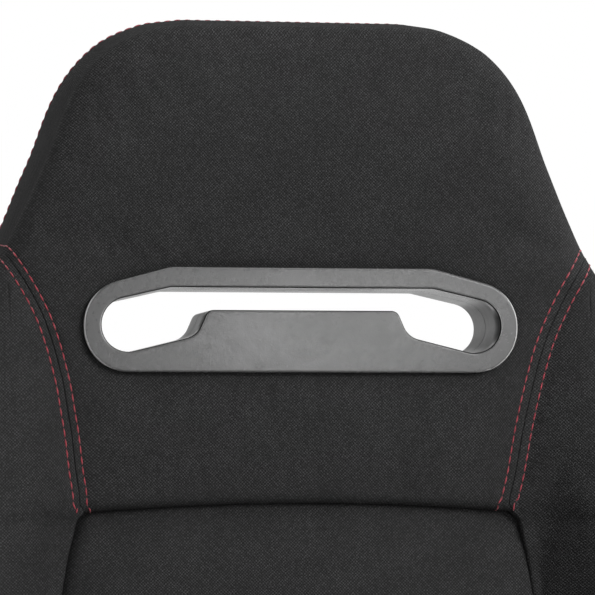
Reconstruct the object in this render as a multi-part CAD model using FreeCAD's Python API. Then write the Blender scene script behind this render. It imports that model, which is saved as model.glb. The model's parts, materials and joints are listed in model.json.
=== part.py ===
"""Reclining sport seat with a harness slot, on slide rails.

Row frame: +Z up, +X to the right of someone looking at the seat's front, +Y to the rear (the occupant faces -Y).
The origin is the centre of the four floor holes, at the underside of the lower rails. Millimetres.
The backrest is drawn in its own frame, with X across, Y out of its rear face and Z up along it, and its origin on the
recliner axis. in_back() carries a shape from there to the row frame.
"""

import FreeCAD
import Part
import math
import os

V = FreeCAD.Vector
OUT = "parts"

# ---- floor rails -------------------------------------------------------------------------------------------------
RAIL_X = 190.0                 # rail centre from the middle of the seat
HOLE_Y = 185.0                 # floor holes, fore and aft of the origin
FLOOR_HOLE_R = 4.3
CHANNEL = 336.0                # length of the lower rail's channel
TAB_END = 202.0                # where the flat tabs with the floor holes end
STEEL = 2.5                    # sheet thickness of the rails
LOWER_HALF = 20.0
LOWER_H = 22.0
LIP = 12.0                     # from rail centre to the edge of the inward lips
UPPER_LEN = 380.0
UPPER_HALF = 10.0
UPPER_TOP = 34.0
FLANGE_HALF = 15.5
FLANGE_Z = 11.0
FLANGE_T = 2.4
RACK_PITCH = 10.0
RACK_SLOT = 5.0
BALL_R = 3.0
ROLLER_R = 4.2
BEARING_Y = 80.0
STOP_Y = (20.0, 140.0)         # roller stops, each side of a roller

# ---- slide lock --------------------------------------------------------------------------------------------------
LATCH_X = 24.0                 # latch pin, inboard of the rail's centre
LATCH_Z = 29.0
LATCH_FRONT, LATCH_REAR = -30.0, 24.0
HANDLE_IN = 38.0               # the handle's side arms, inboard of the rail's centre
HANDLE_PIVOT_Y = -70.0
HANDLE_Z = 36.8
HANDLE_FRONT_Y = -262.0
HANDLE_R = 5.0
LOCK_PIN_R = 3.0
RUN = 0.05                     # running clearance on a radius

# ---- seat base ---------------------------------------------------------------------------------------------------
WEB_X = 205.0                  # inner face of the side frames
WEB_T = 3.0
WEB_TOP = 100.0
FRAME_BOLT_Y = 130.0
TUBE_R = 12.5
FRONT_TUBE = (-185.0, 72.0)    # (Y, Z)
REAR_TUBE = (178.0, 70.0)
WIRE_R = 1.75

# ---- recliner ----------------------------------------------------------------------------------------------------
BRACKET_BOLTS = ((134.0, 74.0), (228.0, 74.0))   # (Y, Z)
PIVOT = V(0, 200.0, 185.0)
LEAN = 14.0                    # degrees the backrest leans rearwards at rest
BRACKET_X = 209.0
PLATE = 5.0
ARM_X = BRACKET_X + PLATE + 0.3
PIVOT_R = 6.0
SECTOR_ROOT, SECTOR_TIP = 44.0, 48.0
TOOTH_DEG = 5.0
ROD = (150.0, 127.0)           # release rod (Y, Z)
ROD_R = 5.0
ARM_TOP = 166.0
ARM_BOLTS = (75.0, 145.0)
ARM_BOLT_R = 5.0
SPRING_PEG = 36.0              # recliner spring peg, from the pivot
COVER_X = 231.0                # inner face of the side covers
COVER_T = 2.5
# side cover's screws (Y, Z) and the outer face of the plate each goes into
COVER_SCREWS = ((-165.0, 80.0, WEB_X + WEB_T), (45.0, 80.0, WEB_X + WEB_T), (234.0, 100.0, BRACKET_X + PLATE))

# ---- backrest frame and shell ------------------------------------------------------------------------------------
LEG_X = 178.0
FRAME_Y = 12.0                 # plane of the tube hoop
PAD_BACK = -18.5               # rear face of the front pads
REAR_FACE = 36.0               # outer face of the rear panel
BACK_LOW = -28.0
BACK_TOP = 798.6
SLOT_Z = 590.0                 # middle of the harness slot
SLOT_FACE = -52.0              # front of the pad around the slot

# half-width of the whole backrest at each height, as (height, half-width)
OUTLINE = [(-28, 193), (10, 196), (165, 196), (200, 221), (260, 260), (340, 277), (450, 281), (535, 270),
           (590, 241), (638, 207.3), (700, 178), (750, 158.3), (779, 135.7), (795, 104), (798.6, 78.4)]
# how much wider it is at the rear face, as (height, width)
FLARE = [(-28, 3), (560, 3), (640, 7.5), (690, 10.5), (800, 10.5)]
# half-width of the seam between the middle panels and the wings
SEAM = [(-26, 146), (80, 150), (200, 165), (320, 172), (399, 165.5), (425, 161.5), (446, 156.7), (453.4, 154.2),
        (456.4, 150.7), (462, 150.3), (487, 154.3), (521, 160.2), (585, 177.4), (634, 204.5), (640, 210)]
# how far the pads stand forward of the recliner axis
INSERT_DEPTH = [(-28, 52), (60, 54), (200, 62), (320, 56), (462, 40)]
HEAD_DEPTH = [(458, 51), (540, 52), (640, 52), (720, 57), (800, 53)]
WING_DEPTH = [(-26, 50), (60, 56), (130, 74), (220, 102), (310, 112), (400, 101), (500, 80), (580, 60), (634, 47)]
HEAD_LOW = 458.5
INSERT_TOP = 456.0
# heights of the sections that neighbouring pads share, beside the insert and beside the head
INSERT_HEIGHTS = (0, 60, 120, 165, 200, 240, 280, 320, 360, 399, 425, 446, 453.4)
SEAM_HEIGHTS = (470, 487, 504, 521, 540, 555, 570, 585, 600, 611, 622)
BACK_WIRES = (118, 196, 274, 352, 430)      # heights of the back springs
# right halves of the bezel's outlines, as (X, Z from the slot's middle, radius): long low ends, raised middle tab
BEZEL_OUTER = [(152, -35.7, 31), (152, 20.8, 31), (92, 37, 30)]
BEZEL_HOLE = [(66.3, 7.4, 6), (74.2, -10.6, 15), (139.7, -26.9, 18.5), (139.7, 12.0, 18.5), (92, 23, 12)]
BEZEL_T = 5.0
BEZEL_SCREWS = ((100, -28), (40, -28))      # (X, Z from the slot's middle), on both sides
SLEEVE_T = 2.2
SLEEVE_JOINT = -4.0                         # where the two sleeves meet, in the backrest's Y

# ---- cushion -----------------------------------------------------------------------------------------------------
CUSHION_REAR = 137.0
CUSHION_FRONT = -285.0
NOSE_Y = -196.0                # seam between the middle panel and the nose
FOAM_Z = (90.5, 120.5)
MIDDLE_HALF = 158.0
BOLSTER_OUT = 250.0
CUSHION_TOP = [(-285, 232), (-240, 246), (-180, 247), (-60, 226), (60, 208), (137, 204)]
BOLSTER_TOP = [(-262, 262), (-200, 286), (-110, 300), (-20, 286), (50, 252), (96, 222)]


# ---- helpers -----------------------------------------------------------------------------------------------------
def curve(points, x):
    """Smooth value at x through (x, value) points; the end values hold outside them."""
    if x <= points[0][0]:
        return points[0][1]
    if x >= points[-1][0]:
        return points[-1][1]
    slopes = [(b[1] - a[1]) / (b[0] - a[0]) for a, b in zip(points, points[1:])]
    i = max(k for k, p in enumerate(points[:-1]) if p[0] <= x)

    def tangent(k):
        if k in (0, len(points) - 1):
            return slopes[min(k, len(slopes) - 1)]
        a, b = slopes[k - 1], slopes[k]
        return 0.0 if a * b <= 0 else 2 * a * b / (a + b)

    (x0, y0), (x1, y1) = points[i], points[i + 1]
    h = x1 - x0
    t = (x - x0) / h
    m0, m1 = tangent(i) * h, tangent(i + 1) * h
    return (y0 * (1 + 2 * t) * (1 - t) ** 2 + m0 * t * (1 - t) ** 2
            + y1 * t * t * (3 - 2 * t) + m1 * t * t * (t - 1))


def box(x0, x1, y0, y1, z0, z1):
    return Part.makeBox(x1 - x0, y1 - y0, z1 - z0, V(x0, y0, z0))


def rod(a, b, r):
    return Part.makeCylinder(r, (b - a).Length, a, b - a)


def rod_x(x0, x1, y, z, r):
    """A cylinder along X."""
    return rod(V(x0, y, z), V(x1, y, z), r)


def hexagon(centre, direction, across_flats, height):
    r = across_flats / math.sqrt(3)
    ring = [V(r * math.cos(k * math.pi / 3), r * math.sin(k * math.pi / 3), 0) for k in range(7)]
    solid = Part.Face(Part.makePolygon(ring)).extrude(V(0, 0, height))
    solid.Placement = FreeCAD.Placement(centre, FreeCAD.Rotation(V(0, 0, 1), direction))
    return solid


def rounded(corners):
    """Closed wire in the XY plane through (x, y, radius) corners."""
    n = len(corners)
    edges, start, last = [], None, None
    for i, (x, y, r) in enumerate(corners):
        p = V(x, y, 0)
        before = V(*corners[i - 1][:2], 0) - p
        after = V(*corners[(i + 1) % n][:2], 0) - p
        if r <= 0:
            a = b = p
        else:
            half = before.getAngle(after) / 2
            run = r / math.tan(half)
            before.normalize()
            after.normalize()
            a, b = p + before * run, p + after * run
            middle = (before + after)
            middle.normalize()
            bulge = p + middle * (r / math.sin(half) - r)
        if last is not None and (a - last).Length > 1e-4:
            edges.append(Part.makeLine(last, a))
        if start is None:
            start = a
        if r > 0:
            edges.append(Part.Arc(a, bulge, b).toShape())
        last = b
    if (start - last).Length > 1e-4:
        edges.append(Part.makeLine(last, start))
    return Part.Wire(Part.__sortEdges__(edges))


def side_plate(corners, x0, x1):
    """A plate square to X: corners are (y, z, radius)."""
    plate = Part.Face(rounded(corners)).extrude(V(0, 0, x1 - x0))
    plate.Placement = FreeCAD.Placement(V(x0, 0, 0), FreeCAD.Rotation(V(0, 1, 0), V(0, 0, 1), V(1, 0, 0), "ZXY"))
    return plate


def bent_rod(points, r, bend):
    """A round bar along the points, with bends of the given radius."""
    edges, last = [], points[0]
    for p0, p, p1 in zip(points, points[1:], points[2:]):
        before, after = p0 - p, p1 - p
        half = before.getAngle(after) / 2
        before.normalize()
        after.normalize()
        run = bend / math.tan(half)
        middle = before + after
        middle.normalize()
        a, b = p + before * run, p + after * run
        edges.append(Part.makeLine(last, a))
        edges.append(Part.Arc(a, p + middle * (bend / math.sin(half) - bend), b).toShape())
        last = b
    edges.append(Part.makeLine(last, points[-1]))
    path = Part.Wire(edges)
    profile = Part.Wire(Part.makeCircle(r, points[0], points[1] - points[0]))
    return path.makePipeShell([profile], True, True)


def mirrored(shape):
    return shape.mirror(V(0, 0, 0), V(1, 0, 0))


def in_back(shape):
    """From the backrest's own frame to the row frame."""
    moved = shape.copy()
    moved.rotate(V(0, 0, 0), V(1, 0, 0), -LEAN)
    moved.translate(PIVOT)
    return moved


def lofted(sections, lay):
    """A closed pad lofted through (t, corners) sections; lay(wire, t) puts each flat section in place."""
    return Part.makeLoft([lay(rounded(corners), t) for t, corners in sections], True, False)


def across_back(wire, t):
    wire.translate(V(0, 0, t))
    return wire


def across_cushion(wire, t):
    wire.rotate(V(0, 0, 0), V(1, 0, 0), 90)
    wire.translate(V(0, t, 0))
    return wire


def crowned(left, right, base, shoulder, top, radius):
    """Corners of a pad's cross-section: flat base, rounded shoulders and a slight crown."""
    middle = (left + right) / 2
    return [(left, base, 0), (right, base, 0), (right, shoulder, radius), (middle, top, 120), (left, shoulder, radius)]


def mixed(a, b, share):
    return a + (b - a) * share


def save(name, *solids):
    shape = solids[0] if len(solids) == 1 else Part.makeCompound(list(solids))
    shape.exportStep(os.path.join(OUT, name + ".step"))


def save_pair(name, right):
    save(name + "_left", mirrored(right))
    save(name + "_right", right)


def both(solids):
    """The solids given for the right side, and the same for the left."""
    return list(solids) + [mirrored(s) for s in solids]


# ---- floor rails -------------------------------------------------------------------------------------------------
def along_y(profile, y0, y1):
    """Extrudes (x, z) points, given about a rail's centre, along Y on the right rail."""
    ring = [V(RAIL_X + x, y0, z) for x, z in profile]
    return Part.Face(Part.makePolygon(ring + ring[:1])).extrude(V(0, y1 - y0, 0))


def lower_rail():
    w, t, h = LOWER_HALF, STEEL, LOWER_H
    channel = along_y([(-w, 0), (w, 0), (w, h), (LIP, h), (LIP, h - t), (w - t, h - t), (w - t, t), (t - w, t),
                       (t - w, h - t), (-LIP, h - t), (-LIP, h), (-w, h)], -CHANNEL / 2, CHANNEL / 2)
    tabs = Part.Face(rounded([(RAIL_X - w, -TAB_END, 9), (RAIL_X + w, -TAB_END, 9), (RAIL_X + w, TAB_END, 9),
                              (RAIL_X - w, TAB_END, 9)])).extrude(V(0, 0, t))
    rail = channel.fuse(tabs).removeSplitter()
    for y in (-HOLE_Y, HOLE_Y):
        rail = rail.cut(rod(V(RAIL_X, y, -1), V(RAIL_X, y, t + 1), FLOOR_HOLE_R))
    teeth = int((CHANNEL - 40) / RACK_PITCH)
    for k in range(teeth):
        y = (k - (teeth - 1) / 2) * RACK_PITCH
        rail = rail.cut(box(RAIL_X - LIP - 4.5, RAIL_X - LIP + 1, y - RACK_SLOT / 2, y + RACK_SLOT / 2, h - t - 1, h + 1))
    for y in STOP_Y:
        for side in (-1, 1):
            rail = rail.fuse(rod(V(RAIL_X, side * y, STEEL - 0.5), V(RAIL_X, side * y, 8.5), 3.5))
    return rail.removeSplitter()


def upper_rail():
    u, f, z, t, top = UPPER_HALF, FLANGE_HALF, FLANGE_Z, FLANGE_T, UPPER_TOP
    rail = along_y([(-f, z), (t - u, z), (t - u, top - t), (u - t, top - t), (u - t, z), (f, z), (f, z + t), (u, z + t),
                    (u, top), (-u, top), (-u, z + t), (-f, z + t)], -UPPER_LEN / 2, UPPER_LEN / 2)
    inner = RAIL_X - UPPER_HALF
    for y in (LATCH_FRONT - 4, LATCH_REAR + 1.5):     # ears that carry the latch pin
        ear = box(RAIL_X - LATCH_X - 5, inner + 0.5, y, y + 2.5, 24, UPPER_TOP)
        rail = rail.fuse(ear)
    shelf = box(RAIL_X - 30, inner + 0.5, HANDLE_PIVOT_Y - 9, HANDLE_PIVOT_Y + 9, 27, 29.5)
    ear = box(RAIL_X - 30, RAIL_X - 27.5, HANDLE_PIVOT_Y - 9, HANDLE_PIVOT_Y + 9, 27, 44)
    rail = rail.fuse(shelf).fuse(ear).removeSplitter()
    rail = rail.cut(rod(V(RAIL_X - LATCH_X, -50, LATCH_Z), V(RAIL_X - LATCH_X, 50, LATCH_Z), LOCK_PIN_R + RUN))
    rail = rail.cut(rod_x(RAIL_X - 32, RAIL_X - 26, HANDLE_PIVOT_Y, HANDLE_Z, LOCK_PIN_R + RUN))
    for y in (-FRAME_BOLT_Y, FRAME_BOLT_Y):
        rail = rail.cut(rod(V(RAIL_X, y, 20), V(RAIL_X, y, 40), 4.3))
    return rail


def bearings():
    z = FLANGE_Z + FLANGE_T + BALL_R + RUN
    x = (UPPER_HALF + LOWER_HALF - STEEL) / 2
    balls = [Part.makeSphere(BALL_R, V(RAIL_X + side * x, y, z)) for side in (-1, 1)
             for y in (-BEARING_Y - 14, BEARING_Y + 14)]
    rollers = [rod_x(RAIL_X - 13, RAIL_X + 13, y, STEEL + ROLLER_R + RUN, ROLLER_R) for y in (-BEARING_Y, BEARING_Y)]
    return both(balls), both(rollers)


# ---- slide lock --------------------------------------------------------------------------------------------------
def latch():
    """A see-saw on its pin: fingers over the rack outboard, a tail under the handle's arm inboard."""
    pin_x = RAIL_X - LATCH_X
    y0, y1 = LATCH_FRONT, LATCH_REAR
    plate = box(RAIL_X - HANDLE_IN - 5, RAIL_X - LIP - 0.6, y0, y1, LATCH_Z - 1.25, LATCH_Z + 1.25)
    barrel = rod(V(pin_x, y0, LATCH_Z), V(pin_x, y1, LATCH_Z), 5.0)
    body = plate.fuse(barrel)
    for k in (-2, -1, 0, 1):
        y = (k + 0.5) * RACK_PITCH
        body = body.fuse(box(RAIL_X - LIP - 3.8, RAIL_X - LIP - 0.6, y - 2, y + 2, LOWER_H + 0.5, LATCH_Z))
    body = body.removeSplitter()
    return body.cut(rod(V(pin_x, y0 - 1, LATCH_Z), V(pin_x, y1 + 1, LATCH_Z), LOCK_PIN_R + RUN))


def lock_pins():
    pin_x = RAIL_X - LATCH_X
    latch_pin = rod(V(pin_x, LATCH_FRONT - 7, LATCH_Z), V(pin_x, LATCH_REAR + 7, LATCH_Z), LOCK_PIN_R)
    handle_pin = rod_x(RAIL_X - 45.5, RAIL_X - 26.5, HANDLE_PIVOT_Y, HANDLE_Z, LOCK_PIN_R)
    head = rod_x(RAIL_X - 46, RAIL_X - 43.5, HANDLE_PIVOT_Y, HANDLE_Z, 5)
    return both([latch_pin, handle_pin.fuse(head).removeSplitter()])


def slide_handle():
    x = RAIL_X - HANDLE_IN
    front = V(x, HANDLE_FRONT_Y, HANDLE_Z - 8)
    knee = V(x, -130, HANDLE_Z)
    tip = V(x, HANDLE_PIVOT_Y + 60, HANDLE_Z)
    bar = bent_rod([tip, knee, front, V(-x, front.y, front.z), V(-x, knee.y, knee.z), V(-x, tip.y, tip.z)], HANDLE_R, 22)
    bar = bar.cut(rod_x(-x - 10, -x + 10, HANDLE_PIVOT_Y, HANDLE_Z, LOCK_PIN_R + RUN))
    bar = bar.cut(rod_x(x - 10, x + 10, HANDLE_PIVOT_Y, HANDLE_Z, LOCK_PIN_R + RUN))
    sleeve = rod_x(-70, 70, front.y, front.z, HANDLE_R + 3).cut(rod_x(-71, 71, front.y, front.z, HANDLE_R))
    return bar, sleeve


# ---- seat base ---------------------------------------------------------------------------------------------------
def side_frame():
    web = side_plate([(-215, UPPER_TOP, 4), (235, UPPER_TOP, 4), (235, 84, 12), (150, WEB_TOP, 40), (-120, WEB_TOP, 60),
                      (-215, 82, 20)], WEB_X, WEB_X + WEB_T)
    foot = box(RAIL_X - 13, WEB_X + 1, -190, 190, UPPER_TOP, UPPER_TOP + WEB_T)
    frame = web.fuse(foot).removeSplitter()
    for y in (-FRAME_BOLT_Y, FRAME_BOLT_Y):
        frame = frame.cut(rod(V(RAIL_X, y, 20), V(RAIL_X, y, 60), 4.3))
    for y, z in BRACKET_BOLTS:
        frame = frame.cut(rod_x(WEB_X - 1, WEB_X + WEB_T + 1, y, z, 4.3))
    for y in (-105, -25, 110):     # lightening holes
        frame = frame.cut(rod_x(WEB_X - 1, WEB_X + WEB_T + 1, y, 68, 14))
    return drilled_for_cover(frame, WEB_X + WEB_T)


def drilled_for_cover(plate, outer_face):
    """Holes for those of the side cover's screws that go into this plate."""
    for y, z, x in COVER_SCREWS:
        if x == outer_face:
            plate = plate.cut(rod_x(x - 6, x + 1, y, z, 2.6))
    return plate


def frame_fasteners():
    bolts, nuts = [], []
    for y in (-FRAME_BOLT_Y, FRAME_BOLT_Y):
        under = UPPER_TOP - FLANGE_T
        head = hexagon(V(RAIL_X, y, under - 5.3), V(0, 0, 1), 13, 5.3)
        bolts.append(head.fuse(rod(V(RAIL_X, y, under - 1), V(RAIL_X, y, 47), 4)).removeSplitter())
        nut = hexagon(V(RAIL_X, y, UPPER_TOP + WEB_T), V(0, 0, 1), 13, 6.5)
        nuts.append(nut.cut(rod(V(RAIL_X, y, 30), V(RAIL_X, y, 50), 4)))
    return both(bolts), both(nuts)


def zigzag(start, end, swing, turns):
    """A zigzag wire spring from start to end, swinging along swing."""
    run = end - start
    points = [start]
    for k in range(turns):
        points.append(start + run * ((k + 0.75) / (turns + 0.5)) + swing * (1 if k % 2 else -1))
    points.append(end)
    return bent_rod(points, WIRE_R, 6.0)


def cushion_springs():
    lift = TUBE_R + WIRE_R
    return [zigzag(V(x, FRONT_TUBE[0], FRONT_TUBE[1] + lift), V(x, REAR_TUBE[0], REAR_TUBE[1] + lift), V(20, 0, 0), 14)
            for x in (-123, -41, 41, 123)]


# ---- recliner ----------------------------------------------------------------------------------------------------


def bracket():
    plate = side_plate([(118, 52, 8), (246, 52, 8), (246, 150, 30), (234, 219, 28), (168, 219, 28), (120, 140, 16)],
                       BRACKET_X, BRACKET_X + PLATE)
    plate = plate.cut(rod_x(BRACKET_X - 1, BRACKET_X + PLATE + 1, PIVOT.y, PIVOT.z, PIVOT_R + RUN))
    plate = plate.cut(rod_x(BRACKET_X - 1, BRACKET_X + PLATE + 1, *ROD, ROD_R + RUN))
    for y, z in BRACKET_BOLTS:
        plate = plate.cut(rod_x(BRACKET_X - 1, BRACKET_X + PLATE + 1, y, z, 4.3))
    return drilled_for_cover(plate, BRACKET_X + PLATE)


def bracket_fasteners():
    parts = []
    for y, z in BRACKET_BOLTS:
        outer = BRACKET_X + PLATE
        bolt = rod_x(WEB_X - 7, outer + 1, y, z, 4).fuse(hexagon(V(outer, y, z), V(1, 0, 0), 13, 5.3))
        spacer = rod_x(WEB_X + WEB_T, BRACKET_X, y, z, 9).cut(rod_x(WEB_X, BRACKET_X + 1, y, z, 4.3))
        nut = hexagon(V(WEB_X - 6.5, y, z), V(1, 0, 0), 13, 6.5).cut(rod_x(WEB_X - 8, WEB_X + 1, y, z, 4))
        parts += [bolt.removeSplitter(), spacer, nut]
    return both(parts)


def pivot_pin():
    pin = rod_x(BRACKET_X - 5, COVER_X - 2, PIVOT.y, PIVOT.z, PIVOT_R)
    pin = pin.fuse(hexagon(V(BRACKET_X - 5, PIVOT.y, PIVOT.z), V(1, 0, 0), 19, 5)).removeSplitter()
    slot = box(221.4, COVER_X, -8, 8, -1.0, 1.0)
    slot.rotate(V(0, 0, 0), V(1, 0, 0), 90 - LEAN)
    slot.translate(PIVOT)
    return pin.cut(slot)


def pivot_washer():
    ring = rod_x(ARM_X + PLATE + 0.2, ARM_X + PLATE + 1.6, PIVOT.y, PIVOT.z, 12)
    return ring.cut(rod_x(ARM_X, COVER_X, PIVOT.y, PIVOT.z, PIVOT_R + RUN))


def spiral_spring():
    """A flat spiral spring, from the slot in the pivot pin out to the peg on the arm."""
    half, turns, inner, outer = 0.7, 3.5, 8.0, 29.0

    def at(angle, extra):
        r = inner + (outer - inner) * angle / (turns * 2 * math.pi) + extra
        return V(0, r * math.sin(angle), r * math.cos(angle))

    steps = [turns * 2 * math.pi * k / 90 for k in range(91)]
    outside = Part.BSplineCurve()
    outside.interpolate([at(a, half) for a in steps])
    inside = Part.BSplineCurve()
    inside.interpolate([at(a, -half) for a in steps])
    ends = [Part.makeLine(at(0, -half), at(0, half)), Part.makeLine(at(steps[-1], -half), at(steps[-1], half))]
    strip = Part.Face(Part.Wire(Part.__sortEdges__([outside.toShape(), inside.toShape()] + ends))).extrude(V(5.5, 0, 0))
    tongue = box(0, 5.5, -half, half, -5, inner + 0.3)
    hook = box(0, 5.5, -half, half, -SPRING_PEG - 3, -outer + 0.3)
    spring = strip.fuse(tongue).fuse(hook).removeSplitter()
    spring.rotate(V(0, 0, 0), V(1, 0, 0), 180)
    spring.translate(V(222.5, 0, 0))
    return in_back(spring)


def sector_arm():
    """The plate that turns on the pivot pin: a toothed sector below, and the arm that carries the backrest."""
    disc = rod_x(ARM_X, ARM_X + PLATE, 0, 0, SECTOR_ROOT)
    count = 25
    for k in range(count):
        mid = math.radians(180 - LEAN - 10 + (k - (count - 1) / 2) * TOOTH_DEG)
        half = math.radians(TOOTH_DEG * 0.32)
        foot, tip = SECTOR_ROOT - 1, SECTOR_TIP
        ring = [V(ARM_X, foot * math.sin(mid - half), foot * math.cos(mid - half)),
                V(ARM_X, tip * math.sin(mid - half / 3), tip * math.cos(mid - half / 3)),
                V(ARM_X, tip * math.sin(mid + half / 3), tip * math.cos(mid + half / 3)),
                V(ARM_X, foot * math.sin(mid + half), foot * math.cos(mid + half))]
        disc = disc.fuse(Part.Face(Part.makePolygon(ring + ring[:1])).extrude(V(PLATE, 0, 0)))
    arm = side_plate([(-34, 20, 0), (34, 20, 0), (32, ARM_TOP, 12), (-10, ARM_TOP, 12)], ARM_X, ARM_X + PLATE)
    peg = rod_x(ARM_X + PLATE - 0.5, ARM_X + PLATE + 9, 3.9, SPRING_PEG, 3)
    plate = disc.fuse(arm).fuse(peg).removeSplitter()
    plate = plate.cut(rod_x(ARM_X - 1, ARM_X + PLATE + 1, 0, 0, PIVOT_R + RUN))
    for z in ARM_BOLTS:
        plate = plate.cut(rod_x(ARM_X - 1, ARM_X + PLATE + 1, FRAME_Y, z, ARM_BOLT_R + 0.2))
    return in_back(plate)


def pawl():
    """Toothed lever fixed on the release rod; its teeth stand just clear below the sector."""
    gap = SECTOR_TIP + 0.5
    low = PIVOT.z - gap - 15
    body = side_plate([(ROD[0] - 11, ROD[1] - 11, 9), (ROD[0] + 20, low, 6), (PIVOT.y + 16, low, 6),
                       (PIVOT.y + 16, PIVOT.z - 30, 0), (PIVOT.y - 16, PIVOT.z - 30, 0),
                       (ROD[0] + 14, ROD[1] + 11, 4), (ROD[0] - 11, ROD[1] + 11, 9)], ARM_X, ARM_X + PLATE)
    body = body.cut(rod_x(ARM_X - 1, ARM_X + PLATE + 1, PIVOT.y, PIVOT.z, gap))
    notch_count = 7
    for k in range(notch_count):
        mid = math.radians(180 + (k - (notch_count - 1) / 2) * TOOTH_DEG)
        half = math.radians(TOOTH_DEG * 0.36)
        ring = [V(ARM_X - 1, r * math.sin(mid + s * half) + PIVOT.y, r * math.cos(mid + s * half) + PIVOT.z)
                for r, s in ((gap - 1, -1), (gap + 3.5, -0.4), (gap + 3.5, 0.4), (gap - 1, 1))]
        body = body.cut(Part.Face(Part.makePolygon(ring + ring[:1])).extrude(V(PLATE + 2, 0, 0)))
    return body.cut(rod_x(ARM_X - 1, ARM_X + PLATE + 1, *ROD, ROD_R))


def release_rod():
    return rod_x(-264, 224, *ROD, ROD_R)


def release_lever():
    """Moulded handle on the left end of the rod: a hub against the side cover, and a grip that reaches forward."""
    hub = rod_x(235.5, 266, *ROD, 14)
    grip = side_plate([(ROD[0] + 6, ROD[1] - 14, 10), (ROD[0] + 8, ROD[1] + 13, 10), (60, 122, 60), (-36, 128, 13),
                       (-40, 100, 13), (60, 98, 60)], 254, 268)
    grip = grip.makeFillet(4, [e for e in grip.Edges if abs(e.CenterOfMass.x - 268) < 0.1
                               or abs(e.CenterOfMass.x - 254) < 0.1])
    lever = hub.fuse(grip).removeSplitter()
    return mirrored(lever.cut(rod_x(230, 264, *ROD, ROD_R)))


def lever_cap():
    cap = rod_x(268, 270.5, *ROD, 8)
    rim = [e for e in cap.Edges if e.BoundBox.XMin > 270.4]
    return mirrored(cap.makeFillet(1.2, rim))


def side_cover():
    """Moulded valance over the side frame and the recliner."""
    corners = [(-205, 44, 14), (262, 44, 22), (262, 160, 50), (244, 226, 34), (160, 226, 40), (118, 118, 50),
               (-120, 118, 30), (-205, 108, 16)]
    outer = side_plate(corners, 212.5 + RUN, COVER_X + COVER_T)
    rim = [e for e in outer.Edges if e.BoundBox.XMin > COVER_X + COVER_T - 0.1]
    outer = outer.makeFillet(6, rim)
    inner_corners = [(-205 + COVER_T, 44 + COVER_T, 11.5), (262 - COVER_T, 44 + COVER_T, 19.5),
                     (262 - COVER_T, 160, 47.5), (244 - COVER_T, 226 - COVER_T, 31.5), (161, 226 - COVER_T, 37.5),
                     (118, 118 - COVER_T, 50), (-120, 118 - COVER_T, 30), (-205 + COVER_T, 108 - COVER_T, 13.5)]
    cover = outer.cut(side_plate(inner_corners, 205, COVER_X))
    cover = cover.cut(box(205, COVER_X, 104, 300, 40, 240))
    for y, z, x in COVER_SCREWS:
        boss = rod_x(x + 0.05, COVER_X + 1, y, z, 6)
        cover = cover.fuse(boss)
    cover = cover.removeSplitter()
    for y, z, x in COVER_SCREWS:
        cover = cover.cut(rod_x(x, COVER_X + 9, y, z, 2.6))
    return cover


def cover_screws():
    screws = []
    for y, z, x in COVER_SCREWS:
        face = COVER_X + COVER_T
        screw = rod_x(x - 4, face + 0.5, y, z, 2.5).fuse(rod_x(face, face + 2.6, y, z, 5.5))
        screws.append(screw.removeSplitter().cut(box(face + 1.2, face + 4, y - 3.4, y + 3.4, z - 0.6, z + 0.6)))
    return both(screws)


# ---- backrest frame ----------------------------------------------------------------------------------------------
def back_hoop():
    side = [V(LEG_X, FRAME_Y, -8), V(LEG_X, FRAME_Y, 230), V(212, FRAME_Y, 360), V(212, FRAME_Y, 500),
            V(186, FRAME_Y, 600), V(146, FRAME_Y, 715)]
    points = side + [V(110, FRAME_Y, 752), V(-110, FRAME_Y, 752)] + [V(-p.x, p.y, p.z) for p in reversed(side)]
    hoop = bent_rod(points, TUBE_R, 30)
    for z in ARM_BOLTS:
        hoop = hoop.cut(rod_x(-230, 230, FRAME_Y, z, ARM_BOLT_R + 0.2))
    return in_back(hoop)


def back_cross_tubes():
    """Bars between the hoop's sides, coped to its round tube: at the bottom, under the slot and mid-back."""
    hoop_cut = [rod(V(s * LEG_X, FRAME_Y, -60), V(s * LEG_X, FRAME_Y, 230), TUBE_R) for s in (-1, 1)]
    low = rod_x(-LEG_X, LEG_X, FRAME_Y, 16, 11).cut(hoop_cut[0]).cut(hoop_cut[1])
    high = rod_x(-205, 205, FRAME_Y, 470, 11)
    for s in (-1, 1):
        high = high.cut(rod(V(s * 212, FRAME_Y, 380), V(s * 212, FRAME_Y, 560), TUBE_R + 0.02))
    return [in_back(low), in_back(high)]


def leg_at(z):
    """Where the hoop's tube stands at a height, from the middle."""
    return LEG_X + (212 - LEG_X) * min(1, max(0, (z - 230) / 130.0))


def back_springs():
    wires, clips = [], []
    for z in BACK_WIRES:
        reach = leg_at(z - 14) - TUBE_R - 7
        wires.append(zigzag(V(-reach, FRAME_Y, z), V(reach, FRAME_Y, z), V(0, 0, 16), 11))
        for s in (-1, 1):
            x0, x1 = sorted((s * (reach - 7), s * (reach + 4)))
            clip = box(x0, x1, FRAME_Y - 4, FRAME_Y + 4, z - 14, z + 14)
            hollow = box(min(x0, x1) - (1 if s > 0 else -2), max(x0, x1) - (2 if s > 0 else -1),
                         FRAME_Y - 2.2, FRAME_Y + 2.2, z - 15, z + 15)
            clips.append(clip.cut(hollow))
    return [in_back(w) for w in wires], [in_back(c) for c in clips]


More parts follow.
